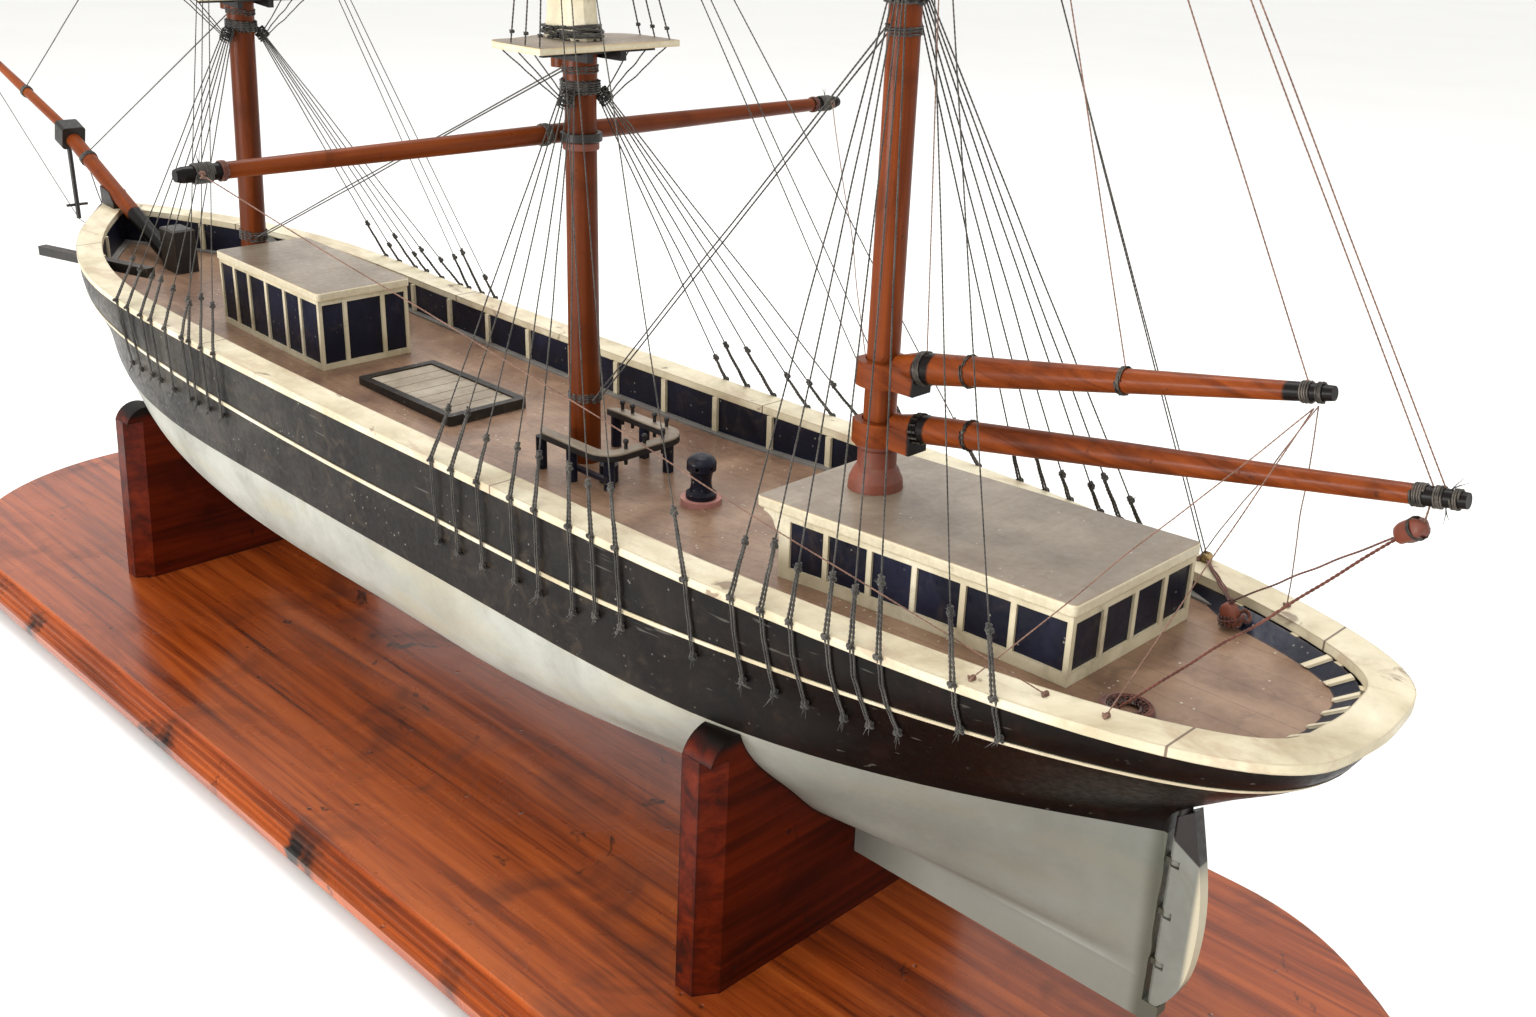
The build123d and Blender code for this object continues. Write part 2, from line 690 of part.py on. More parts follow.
def house(x0, x1, half, top0, slope, roof, posts, end_posts, post_width, trim, mast=None, porch=0.0):
    """Walls, frames and roof of a deckhouse.  Its roof's top is top0 high at x0 and slopes from there.
    The roof reaches forward of the walls by the porch, with two brackets under it."""
    wall_x0 = x0 + ROOF_OVERHANG + FRAME_PROUD
    wall_x1 = x1 - ROOF_OVERHANG - FRAME_PROUD - porch
    wall_half = half - ROOF_OVERHANG - FRAME_PROUD

    def under_roof(x):
        return roof_line(x, x0, top0, slope) - roof

    with BuildPart() as walls:
        with BuildSketch(Plane.XZ):
            with BuildLine():
                Polyline(
                    (wall_x0, 145), (wall_x1, 145), (wall_x1, under_roof(wall_x1)), (wall_x0, under_roof(wall_x0)),
                    close=True,
                )
            make_face()
        extrude(amount=wall_half, both=True)
        add(under_deck, mode=Mode.SUBTRACT)
        if mast:
            with Locations((mast, 0, 150)):
                Cylinder(MAST_RADIUS["mizzen"] + 0.1, 120, mode=Mode.SUBTRACT)

    frame_x0 = x0 + ROOF_OVERHANG
    frame_x1 = x1 - ROOF_OVERHANG - porch
    with BuildPart() as frames:
        with BuildSketch(Plane.XZ):
            with BuildLine():
                Polyline(
                    (frame_x0, 145), (frame_x1, 145), (frame_x1, under_roof(frame_x1)),
                    (frame_x0, under_roof(frame_x0)), close=True,
                )
            make_face()
        extrude(amount=wall_half + FRAME_PROUD, both=True)
        with Locations(((wall_x0 + wall_x1) / 2, 0, 170)):
            Box(wall_x1 - wall_x0, 2 * wall_half, 120, mode=Mode.SUBTRACT)
        for left, right in zip(posts, posts[1:]):
            low = left + post_width / 2
            high = right - post_width / 2
            with BuildSketch(Plane.XZ):
                with BuildLine():
                    Polyline(
                        (low, deck_height(low) + trim), (high, deck_height(high) + trim),
                        (high, under_roof(high) - 2), (low, under_roof(low) - 2), close=True,
                    )
                make_face()
            extrude(amount=60, both=True, mode=Mode.SUBTRACT)
        for left, right in zip(end_posts, end_posts[1:]):
            width = right - left - post_width
            for x in (wall_x0, wall_x1):
                bottom = deck_height(x) + trim
                with Locations((x, (left + right) / 2, bottom)):
                    Box(4, width, under_roof(x) - 2.4 - bottom, align=FROM_BELOW, mode=Mode.SUBTRACT)
        add(under_deck, mode=Mode.SUBTRACT)
        for y in (wall_half - 1.4, 1.4 - wall_half) if porch else ():
            with BuildSketch(Plane(origin=(frame_x1, y, under_roof(frame_x1)), x_dir=(1, 0, 0), z_dir=(0, -1, 0))):
                with BuildLine():
                    Line((-0.4, 0), (-0.4, -9))
                    ThreePointArc((-0.4, -9), (2.2, -6.6), (3.4, -4.2))
                    ThreePointArc((3.4, -4.2), (5.2, -2.6), (porch - 0.8, -2.0))
                    Line((porch - 0.8, -2.0), (porch - 0.8, (porch - 0.8) * slope - 0.02))
                    Line((porch - 0.8, (porch - 0.8) * slope - 0.02), (-0.4, 0))
                make_face()
            extrude(amount=1.4, both=True)

    with BuildPart() as cover:
        tilt = -math.degrees(math.atan(slope))
        middle = ((x0 + x1) / 2, 0, roof_line((x0 + x1) / 2, x0, top0, slope) - roof)
        with BuildSketch(Plane(origin=middle, x_dir=(1, 0, slope), z_dir=(-slope, 0, 1))):
            RectangleRounded(math.hypot(x1 - x0, slope * (x1 - x0)), 2 * half, 2.0)
        extrude(amount=roof)
        fillet(cover.faces().sort_by(Axis.Z)[-1].outer_wire().edges(), 0.7)
        if mast:
            with Locations((mast, 0, 150)):
                Cylinder(MAST_RADIUS["mizzen"] + 0.1, 120, mode=Mode.SUBTRACT)
    return walls, frames, cover


CABIN_POSTS = (-301.8, -283.2, -265.7, -247.9, -230.6, -213.0, -197.0)
CABIN_END_POSTS = (-30.6, -15.6, 0.0, 15.6, 30.6)
HOUSE_POSTS = (100.2, 116.0, 130.0, 146.5, 162.4, 176.0, 189.2)
HOUSE_END_POSTS = (-22.0, -9.6, 9.6, 22.0)

aft_walls, aft_frames, aft_roof = house(
    -303.6, -183.6, 32.4, 187.4, -0.0417, 3.7, CABIN_POSTS, CABIN_END_POSTS, 2.0, 4.0, mast=MIZZEN_X, porch=8.6,
)
save(aft_walls, "aft_cabin_walls")
save(aft_frames, "aft_cabin_frames")
save(aft_roof, "aft_cabin_roof")
fore_walls, fore_frames, fore_roof = house(
    98.4, 190.6, 23.7, 186.9, 0.0279, 3.5, HOUSE_POSTS, HOUSE_END_POSTS, 2.0, 2.6
)
save(fore_walls, "fore_house_walls")
save(fore_frames, "fore_house_frames")
save(fore_roof, "fore_house_roof")

# ================================================================ hatch, capstan, companion, bitts
with BuildPart() as hatch_coaming:
    with BuildSketch(Plane.XY.offset(140)):
        with Locations((41, 0)):
            RectangleRounded(70, 39, 1.5)
            Rectangle(63, 32, mode=Mode.SUBTRACT)
    extrude(amount=14.2)
    add(under_deck, mode=Mode.SUBTRACT)
save(hatch_coaming, "hatch_coaming")

with BuildPart() as hatch_cover:
    with BuildSketch(Plane.XY.offset(140)):
        with Locations((41, 0)):
            Rectangle(62.8, 31.8)
    extrude(amount=13.4)
    add(under_deck, mode=Mode.SUBTRACT)
    for i in range(1, 7):
        with Locations((41 - 31.4 + i * 62.8 / 7, 0, 153.4)):
            Box(0.5, 40, 0.8, mode=Mode.SUBTRACT)
save(hatch_cover, "hatch_cover")

CAPSTAN_X = -123.7
capstan_foot = deck_height(CAPSTAN_X) + 2.4
with BuildPart() as capstan_base:
    with BuildSketch(Plane.XY.offset(capstan_foot - 6)):
        with Locations((CAPSTAN_X, 0)):
            Circle(7.5)
    extrude(amount=6)
    add(under_deck, mode=Mode.SUBTRACT)
    with Locations((CAPSTAN_X, 0, capstan_foot)):
        Cylinder(1.3, 9, align=FROM_BELOW)
save(capstan_base, "capstan_base")

with BuildPart() as capstan:
    with BuildSketch(Plane(origin=(CAPSTAN_X, 0, capstan_foot), x_dir=(1, 0, 0), z_dir=(0, -1, 0))):
        with BuildLine():
            Polyline((0, 9.6), (1.36, 9.6), (1.36, 0), (5.6, 0), (5.6, 1.8), (4.4, 2.6))
            ThreePointArc((4.4, 2.6), (3.7, 6.0), (4.4, 10.0))
            Polyline((4.4, 10.0), (5.4, 10.8), (5.4, 13.4))
            ThreePointArc((5.4, 13.4), (4.2, 15.3), (2.0, 16.1))
            Polyline((2.0, 16.1), (0, 16.1), (0, 9.6))
        make_face()
    revolve(axis=Axis((CAPSTAN_X, 0, 0), (0, 0, 1)))
    for i in range(6):
        angle = 60 * i
        spot = Plane(origin=(CAPSTAN_X, 0, capstan_foot + 12.1), x_dir=(0, 0, 1),
                     z_dir=(math.cos(math.radians(angle)), math.sin(math.radians(angle)), 0))
        with BuildSketch(spot.offset(3.6)):
            Rectangle(1.3, 1.3)
        extrude(amount=4, mode=Mode.SUBTRACT)
save(capstan, "capstan")

BOWSPRIT_SLOPE = math.degrees(math.atan2(38.4, 87.6))
bowsprit_plane = Plane(
    origin=(298, 0, 164.4),
    x_dir=(-math.sin(math.radians(BOWSPRIT_SLOPE)), 0, math.cos(math.radians(BOWSPRIT_SLOPE))),
    z_dir=(math.cos(math.radians(BOWSPRIT_SLOPE)), 0, math.sin(math.radians(BOWSPRIT_SLOPE))),
)
with BuildPart() as heel_block_part:
    with Locations((282, 0, 140)):
        Box(16, 12, 41, align=FROM_BELOW)
    chamfer(heel_block_part.faces().sort_by(Axis.Z)[-1].edges(), 0.9)
    add(under_deck, mode=Mode.SUBTRACT)
heel_block = heel_block_part.part

# The bowsprit's heel comes down to the deck against the block.
with BuildPart() as bowsprit:
    with BuildSketch(bowsprit_plane.offset(-14)):
        Circle(4.4)
    with BuildSketch(bowsprit_plane.offset(116)):
        Circle(4.1)
    loft()
    add(under_deck, mode=Mode.SUBTRACT)
    with Locations((280, 0, 140)):
        Box(20.2, 40, 60, align=FROM_BELOW, mode=Mode.SUBTRACT)
save(bowsprit, "bowsprit")

JIB_SLOPE = 16.5
jib_plane = Plane(
    origin=(407, 0, 214.0),
    x_dir=(-math.sin(math.radians(JIB_SLOPE)), 0, math.cos(math.radians(JIB_SLOPE))),
    z_dir=(math.cos(math.radians(JIB_SLOPE)), 0, math.sin(math.radians(JIB_SLOPE))),
)
with BuildPart() as jibboom:
    with BuildSketch(jib_plane):
        Circle(2.75)
    with BuildSketch(jib_plane.offset(56)):
        Circle(2.75)
    loft()
    with BuildSketch(jib_plane.offset(56)):
        Circle(2.75)
    with BuildSketch(jib_plane.offset(158)):
        Circle(1.6)
    loft()
save(jibboom, "jibboom")

with BuildPart() as bowsprit_cap:
    cap_plane = Plane(origin=(406, 0, 212.7), x_dir=(0, 1, 0), z_dir=(0.94, 0, 0.342))
    with BuildSketch(cap_plane.offset(-5)):
        RectangleRounded(13, 13, 2)
    extrude(amount=10)
    add(bowsprit, mode=Mode.SUBTRACT)
    add(jibboom, mode=Mode.SUBTRACT)
save(bowsprit_cap, "bowsprit_cap")

chock_cut = under_rail & Pos(360, 0, 170) * Box(60, 40, 90)

# The block behind the bowsprit's heel, and the chock that carries it over the stem.
with BuildPart() as bowsprit_bitts:
    add(heel_block)
    with BuildSketch(Plane.XZ):
        with BuildLine():
            Polyline((347, 170), (362, 170), (362, 191), (352, 189), (347, 183), close=True)
        make_face()
    extrude(amount=5, both=True)
    add(under_deck, mode=Mode.SUBTRACT)
    add(chock_cut, mode=Mode.SUBTRACT)
    add(bowsprit, mode=Mode.SUBTRACT)
save(bowsprit_bitts, "bowsprit_bitts")

with BuildPart() as dolphin_striker:
    with Locations((410, 0, 164)):
        Cylinder(1.3, 41.4, align=FROM_BELOW)
    with Locations((410, 0, 172)):
        Cylinder(0.8, 12, rotation=(90, 0, 0))
    add(bowsprit_cap, mode=Mode.SUBTRACT)
save(dolphin_striker, "dolphin_striker")

# ================================================================ fife rail
FIFE_X = -72.5
FIFE_BAR_Y = 18.5
FIFE_LEGS = [(-54, 18.5), (-72.5, 18.5), (-89.5, 14.5), (-89.5, -14.5), (-71, -18.5), (-54, -18.5)]
FIFE_PINS = [(-92.5, -9), (-92.5, 0), (-92.5, 9)] + [(x, -FIFE_BAR_Y) for x in (-84, -77, -64, -58)]
FIFE_DRUM = (-82.0, 8.5)

# The fife rail is a U round the mast, open forward.
with BuildPart() as fife_rail:
    with BuildSketch(Plane.XY.offset(162.8)):
        with Locations((FIFE_X, 0)):
            RectangleRounded(45, 42, 10)
            RectangleRounded(35, 32, 6, mode=Mode.SUBTRACT)
        with Locations((-55, 0)):
            Rectangle(24, 32, mode=Mode.SUBTRACT)
    extrude(amount=3)
    fillet(fife_rail.faces().sort_by(Axis.Z)[-1].edges(), 0.5)
    for x, y in FIFE_PINS:
        with Locations((x, y, 160)):
            Cylinder(0.7, 9, align=FROM_BELOW)
        with Locations((x, y, 169)):
            Sphere(1.1)
save(fife_rail, "fife_rail")
with BuildPart() as fife_legs:
    with BuildSketch(Plane.XY.offset(140)):
        with Locations(*FIFE_LEGS):
            Circle(2.1)
    extrude(amount=22.8)
    with BuildSketch(Plane.XY.offset(154)):
        with Locations((-81, 16.5)):
            Rectangle(19, 1.8)
    extrude(amount=1.8)
    with BuildSketch(Plane.XY.offset(140)):
        with Locations(FIFE_DRUM):
            Circle(3.6)
    extrude(amount=17)
    add(under_deck, mode=Mode.SUBTRACT)
save(fife_legs, "fife_rail_legs")

# ================================================================ masts
HEADS = {"fore": 500.0, "main": 515.0}
DOUBLING = 38.0
TOPMAST_AHEAD = 10.2
TOPGALLANT_AHEAD = 17.8
CROSSTREE_Z = {"fore": 425.0, "main": 436.0}
TRUCK_Z = {"fore": 560.0, "main": 575.0}
TOP_SHAPE = {"fore": (28.0, 18.5), "main": (31.0, 20.0)}
TOP_AFT = 18.0
MIZZEN_TRUCK = 530.0


def turned(name, profile, ahead=0.0):
    """A spar turned about a line beside a mast.  The profile lists radius and height."""
    foot = along_mast(name, profile[0][1], ahead)
    plane = MAST_PLANES[name]
    start = profile[0][1]
    with BuildPart() as spar:
        with BuildSketch(Plane(origin=foot, x_dir=plane.x_dir, z_dir=Vector(0, -1, 0))):
            with BuildLine():
                Polyline((0, 0), *[(r, z - start) for r, z in profile], (0, profile[-1][1] - start), close=True)
            make_face()
        revolve(axis=Axis(foot, plane.z_dir))
    return spar


def rounded_end(radius, height):
    """The last points of a spar's profile, where its end is rounded over."""
    return [(radius, height), (radius * 0.85, height + radius * 0.4), (radius * 0.45, height + radius * 0.7)]


def mast_top(name, half_width, ahead):
    """The platform at a lower mast's head, straight aft and rounded in front."""
    base = Plane(
        origin=along_mast(name, TOP_Z), x_dir=MAST_PLANES[name].x_dir, z_dir=MAST_PLANES[name].z_dir
    )
    with BuildPart() as top:
        with BuildSketch(base):
            with BuildLine():
                Polyline((0, half_width), (-TOP_AFT, half_width), (-TOP_AFT, -half_width), (0, -half_width))
                Spline(
                    (0, -half_width), (ahead * 0.72, -half_width * 0.62), (ahead, 0),
                    (ahead * 0.72, half_width * 0.62), (0, half_width), tangents=[(1, 0), (-1, 0)],
                )
            make_face()
            Circle(4.6, mode=Mode.SUBTRACT)
            with Locations((TOPMAST_AHEAD, 0)):
                Circle(4.0, mode=Mode.SUBTRACT)
        extrude(amount=TOP_THICKNESS)
    return top


def trestle_trees(name):
    """Two fore-and-aft bars under a top, with two cross bars."""
    base = Plane(
        origin=along_mast(name, TOP_Z), x_dir=MAST_PLANES[name].x_dir, z_dir=MAST_PLANES[name].z_dir
    )
    with BuildPart() as bars:
        with BuildSketch(base.offset(-4)):
            with Locations((1, 7.4), (1, -7.4)):
                Rectangle(32, 2.6)
        extrude(amount=4)
        with BuildSketch(base.offset(-1.6)):
            with Locations((-10.5, 0)):
                Rectangle(2.2, 50)
            with Locations((15.7, 0)):
                Rectangle(1.8, 26)
        extrude(amount=1.6)
    return bars


def mast_cap(name, bottom, aft_r, aft_x, fore_r, fore_x):
    """A cap block that ties a masthead to the spar in front of it."""
    middle = (aft_x + fore_x) / 2
    base = Plane(
        origin=along_mast(name, bottom, middle), x_dir=MAST_PLANES[name].x_dir, z_dir=MAST_PLANES[name].z_dir
    )
    with BuildPart() as block:
        with BuildSketch(base):
            RectangleRounded(fore_x - aft_x + fore_r + aft_r + 3.2, 2 * aft_r + 3.2, 2.4)
            with Locations((aft_x - middle, 0)):
                Circle(aft_r, mode=Mode.SUBTRACT)
            with Locations((fore_x - middle, 0)):
                Circle(fore_r, mode=Mode.SUBTRACT)
        extrude(amount=3.6)
    return block.part


lower_masts = {}
topmasts = {}
topgallants = {}
tops = {}
trees = {}
for name in ("fore", "main"):
    cross = CROSSTREE_Z[name]
    half_width, ahead = TOP_SHAPE[name]
    lower_masts[name] = turned(name, [
        (6.0, MAST_HEEL), (6.0, 165), (5.7, 288), (6.1, 290), (6.1, TOP_Z),
        (4.6, TOP_Z), (4.3, TOP_Z + DOUBLING), (3.9, TOP_Z + DOUBLING + 1),
    ])
    topmasts[name] = turned(name, [
        (4.0, TOP_Z - 8), (4.0, TOP_Z + DOUBLING), (3.2, cross - 4), (3.6, cross - 3), (3.6, cross),
        (2.9, cross), (2.8, cross + 22),
    ], TOPMAST_AHEAD)
    topgallants[name] = turned(name, [
        (2.6, cross - 3), (2.6, cross + 22), (1.7, TRUCK_Z[name] - 4), (1.7, TRUCK_Z[name] - 2),
    ] + rounded_end(2.8, TRUCK_Z[name]), TOPGALLANT_AHEAD)
    tops[name] = mast_top(name, half_width, ahead)
    trees[name] = trestle_trees(name)
    save(lower_masts[name], name + "_lower_mast")


def joined(pieces, name):
    """Several solids of one kind, kept as one node."""
    with BuildPart() as group:
        for piece in pieces:
            add(piece)
    save(group, name)
    return group


joined(topmasts.values(), "topmasts")
joined(topgallants.values(), "topgallant_masts")
joined(list(tops.values()) + list(trees.values()), "mast_tops")

mizzen_mast = turned("mizzen", [
    (5.3, MAST_HEEL), (5.3, 190), (4.9, 338), (4.3, 344), (2.0, MIZZEN_TRUCK - 6), (2.0, MIZZEN_TRUCK - 3),
] + rounded_end(3.0, MIZZEN_TRUCK))
save(mizzen_mast, "mizzen_mast")


def crosstree(name):
    """The light bars that spread the rigging at a topmast's head."""
    base = Plane(
        origin=along_mast(name, CROSSTREE_Z[name]), x_dir=MAST_PLANES[name].x_dir,
        z_dir=MAST_PLANES[name].z_dir,
    )
    with BuildPart() as bars:
        with BuildSketch(base):
            with Locations((TOPMAST_AHEAD + 2, 4.4), (TOPMAST_AHEAD + 2, -4.4)):
                Rectangle(22, 1.8)
            with Locations((TOPMAST_AHEAD - 6, 0), (TOPMAST_AHEAD + 12, 0)):
                Rectangle(1.8, 40)
        extrude(amount=1.8)
    return bars.part


caps_and_trees = []
for name in ("fore", "main"):
    caps_and_trees.append(mast_cap(name, TOP_Z + DOUBLING - 5, 4.32, 0, 4.02, TOPMAST_AHEAD))
    caps_and_trees.append(mast_cap(name, CROSSTREE_Z[name] + 17, 2.84, TOPMAST_AHEAD, 2.62, TOPGALLANT_AHEAD))
    caps_and_trees.append(crosstree(name))

with BuildPart() as mast_caps:
    for piece in caps_and_trees:
        add(piece)
    for name in ("fore", "main"):
        add(lower_masts[name], mode=Mode.SUBTRACT)
        add(topmasts[name], mode=Mode.SUBTRACT)
save(mast_caps, "caps_and_crosstrees")

# Bands on the mizzen: a flared collar on the cabin roof, and above it the rest for the boom's jaws.
BOOM_REST_TOP = 199.0
COLLAR_JOIN = 189.8
with BuildPart() as cabin_roof_below_part:
    with BuildSketch(Plane.XZ):
        with BuildLine():
            Polyline(
                (-240, 150), (-170, 150), (-170, roof_line(-170, -303.6, 187.45, -0.0417)),
                (-240, roof_line(-240, -303.6, 187.45, -0.0417)), close=True,
            )
        make_face()
    extrude(amount=30, both=True)
cabin_roof_below = cabin_roof_below_part.part

with BuildPart() as mizzen_bands:
    with BuildSketch(Plane(origin=(MIZZEN_X, 0, 0), x_dir=(1, 0, 0), z_dir=(0, -1, 0))):
        with BuildLine():
            Polyline(
                (4.5, 181), (9.2, 181), (8.6, 186.6), (7.2, COLLAR_JOIN), (6.3, 191.2), (6.3, 196.6),
                (7.3, 197.6), (7.3, BOOM_REST_TOP), (4.5, BOOM_REST_TOP), close=True,
            )
        make_face()
    revolve(axis=Axis((MIZZEN_X, 0, 0), (0, 0, 1)))
    add(cabin_roof_below, mode=Mode.SUBTRACT)
    add(mizzen_mast, mode=Mode.SUBTRACT)

# ================================================================ boom, gaff and main yard
SWING_CLEARANCE = 0.3


def jawed_spar(profile, start, end, jaw_bottom, jaw_top, jaw_reach, mast_r):
    """A spar turned along its own axis, with jaws round the mizzen mast."""
    run = Vector(*end) - Vector(*start)
    length = run.length
    with BuildPart() as spar:
        with BuildSketch(Plane(origin=start, x_dir=run, z_dir=(0, -1, 0))):
            with BuildLine():
                Polyline((0, 0), *[(s * length, r) for s, r in profile], (length, 0), close=True)
            make_face()
        revolve(axis=Axis(start, run))
        with BuildSketch(Plane.XY.offset(jaw_bottom)):
            with Locations((MIZZEN_X, 0)):
                Circle(mast_r + 3.2)
            with Locations((MIZZEN_X - 9, 0)):
                Rectangle(14, 8.6)
        extrude(amount=jaw_top - jaw_bottom)
        with Locations((MIZZEN_X, 0, jaw_bottom)):
            Cylinder(mast_r + SWING_CLEARANCE, 60, mode=Mode.SUBTRACT)
        with Locations((MIZZEN_X + jaw_reach + 20, 0, jaw_bottom)):
            Box(40, 40, 60, mode=Mode.SUBTRACT)
    return spar


boom = jawed_spar(
    [(0.0, 3.6), (0.05, 4.5), (0.45, 3.9), (0.76, 2.9), (0.96, 2.5), (1.0, 2.0)],
    (-211.5, 0, 205.6), (-384, 0, 234.2), BOOM_REST_TOP, 206.5, 6.5, 5.3,
)
save(boom, "boom")
gaff = jawed_spar(
    [(0.0, 3.8), (0.06, 5.0), (0.4, 4.0), (0.8, 2.8), (0.96, 2.4), (1.0, 1.9)],
    (-211.5, 0, 224.6), (-348, 0, 251.2), 218.0, 226.0, 6.5, 5.25,
)
save(gaff, "gaff")

YARD_Z = 273.8
YARD_X = MAIN_X + 9.8
YARD_HALF = 147.0
YARD_PROFILE = [(0.0, 1.9), (0.008, 2.5), (0.1, 2.7), (0.35, 3.3), (0.5, 3.5)]


def yard(name, height, half, middle_r, ahead):
    """A yard across a mast, thickest in the middle."""
    centre = along_mast(name, height, ahead)
    scale = middle_r / 3.5
    shape = [(2 * half * s, r * scale) for s, r in YARD_PROFILE]
    shape += [(2 * half * (1 - s), r * scale) for s, r in reversed(YARD_PROFILE[:-1])]
    with BuildPart() as spar:
        with BuildSketch(Plane(origin=(centre[0], -half, centre[2]), x_dir=(0, 1, 0), z_dir=(1, 0, 0))):
            with BuildLine():
                Polyline((0, 0), *shape, (2 * half, 0), close=True)
            make_face()
        revolve(axis=Axis((centre[0], 0, centre[2]), (0, 1, 0)))
    return spar.part


main_yard_spar = yard("main", YARD_Z, YARD_HALF, 3.5, 9.8)
with BuildPart() as main_yard:
    add(main_yard_spar)
save(main_yard, "main_yard")

# The parrel is a ring that turns on the mast and carries the yard.
parrel_ring = mast_ring("main", YARD_Z - 1.6, 3.2, 5.9 + 0.25, 5.9 + 1.8)
with BuildPart() as yard_parrel:
    add(parrel_ring)
    with BuildSketch(Plane.XY.offset(YARD_Z - 1.6)):
        with Locations((MAIN_X + 10, 0)):
            Rectangle(8, 7)
        with Locations((MAIN_X, 0)):
            Circle(5.9 + 0.25, mode=Mode.SUBTRACT)
    extrude(amount=3.2)
    with Locations((MAIN_X, 0, YARD_Z)):
        Cylinder(5.9 + 0.25, 12, mode=Mode.SUBTRACT)
    add(main_yard, mode=Mode.SUBTRACT)
save(yard_parrel, "yard_parrel")

sling_ring = mast_ring("main", YARD_Z - 4.6, 2.9, 5.72, 6.6)
with BuildPart() as yard_sling:
    add(sling_ring)
    add(lower_masts["main"], mode=Mode.SUBTRACT)
joined([mizzen_bands, yard_sling], "mast_bands")

joined(
    [
        yard("main", 372.0, 112.0, 3.0, TOPMAST_AHEAD + 6.75),
        yard("main", 470.0, 78.0, 2.3, TOPGALLANT_AHEAD + 4.75),
        yard("fore", 364.0, 106.0, 3.0, TOPMAST_AHEAD + 6.75),
        yard("fore", 458.0, 74.0, 2.3, TOPGALLANT_AHEAD + 4.75),
    ],
    "upper_yards",
)

# ================================================================ standing rigging
COLLAR_BOTTOM = {"fore": 288.5, "main": 288.5, "mizzen": 330.0}
COLLAR_INNER = {"fore": 5.7, "main": 5.7, "mizzen": 4.9}
MAST_BODIES = {"fore": lower_masts["fore"], "main": lower_masts["main"], "mizzen": mizzen_mast}


def lower_shrouds(name):
    """The served collar of one lower mast with its shrouds, lanyards, knots and pins, all one piece."""
    bottom = COLLAR_BOTTOM[name]
    inner = COLLAR_INNER[name]
    pieces = [mast_ring(name, bottom, 6.0, inner, inner + 2.4)]
    for i, (x, z) in enumerate(SHROUDS[name]):
        centre = along_mast(name, bottom + 3.0, 1.5 - 1.2 * i)
        for side in (-1, 1):
            pieces.append(shroud((centre[0], inner - 0.4, centre[2]), x, side, z))
    with BuildPart() as gang:
        for piece in pieces:
            add(piece)
        add(MAST_BODIES[name], mode=Mode.SUBTRACT)
    save(gang, name + "_shrouds")
    print(name, "shrouds", len(gang.part.solids()))


for name in SHROUDS:
    lower_shrouds(name)

BACKSTAY_RINGS = {
    "fore": (408.0, 3.3, TOPMAST_AHEAD),
    "main": (418.0, 3.3, TOPMAST_AHEAD),
    "mizzen": (440.0, 3.2, 0.0),
}
upper_parts = []
for name, feet in BACKSTAYS.items():
    bottom, inner, ahead = BACKSTAY_RINGS[name]
    upper_parts.append(mast_ring(name, bottom, 4.0, inner, inner + 1.8, ahead))
    for i, (x, z) in enumerate(feet):
        centre = along_mast(name, bottom + 2.0, ahead + 0.8 - 1.0 * i)
        for side in (-1, 1):
            upper_parts.append(shroud((centre[0], inner - 0.3, centre[2]), x, side, z))
for name in ("fore", "main"):
    half_width, ahead = TOP_SHAPE[name]
    cross = CROSSTREE_Z[name]
    upper_parts.append(mast_ring(name, cross - 10, 3.0, 3.2, 5.2, TOPMAST_AHEAD))
    for i in range(3):
        for side in (-1, 1):
            foot = along_mast(name, TOP_Z + TOP_THICKNESS + 0.2, -15 + 8 * i, side * (half_width - 2.2))
            head = along_mast(name, cross - 8.5, TOPMAST_AHEAD - 1.5 + 1.5 * i, side * 3.8)
            upper_parts.append(rope([foot, head], LINE_R))

with BuildPart() as upper_shrouds:
    for piece in upper_parts:
        add(piece)
    for spar in (topmasts["fore"], topmasts["main"], mizzen_mast):
        add(spar, mode=Mode.SUBTRACT)
save(upper_shrouds, "backstays_and_topmast_shrouds")
print("upper shrouds", len(upper_shrouds.part.solids()))


def spar_ring(plane, along, length, inner, outer):
    """A ring round a spar that lies along a plane's normal."""
    with BuildPart() as ring:
        with BuildSketch(plane.offset(along)):
            Circle(outer)
            Circle(inner, mode=Mode.SUBTRACT)
        extrude(amount=length)
    return ring.part


def along_spar(plane, along, above=0.0):
    point = plane.origin + plane.z_dir * along + plane.x_dir * above
    return (point.X, point.Y, point.Z)


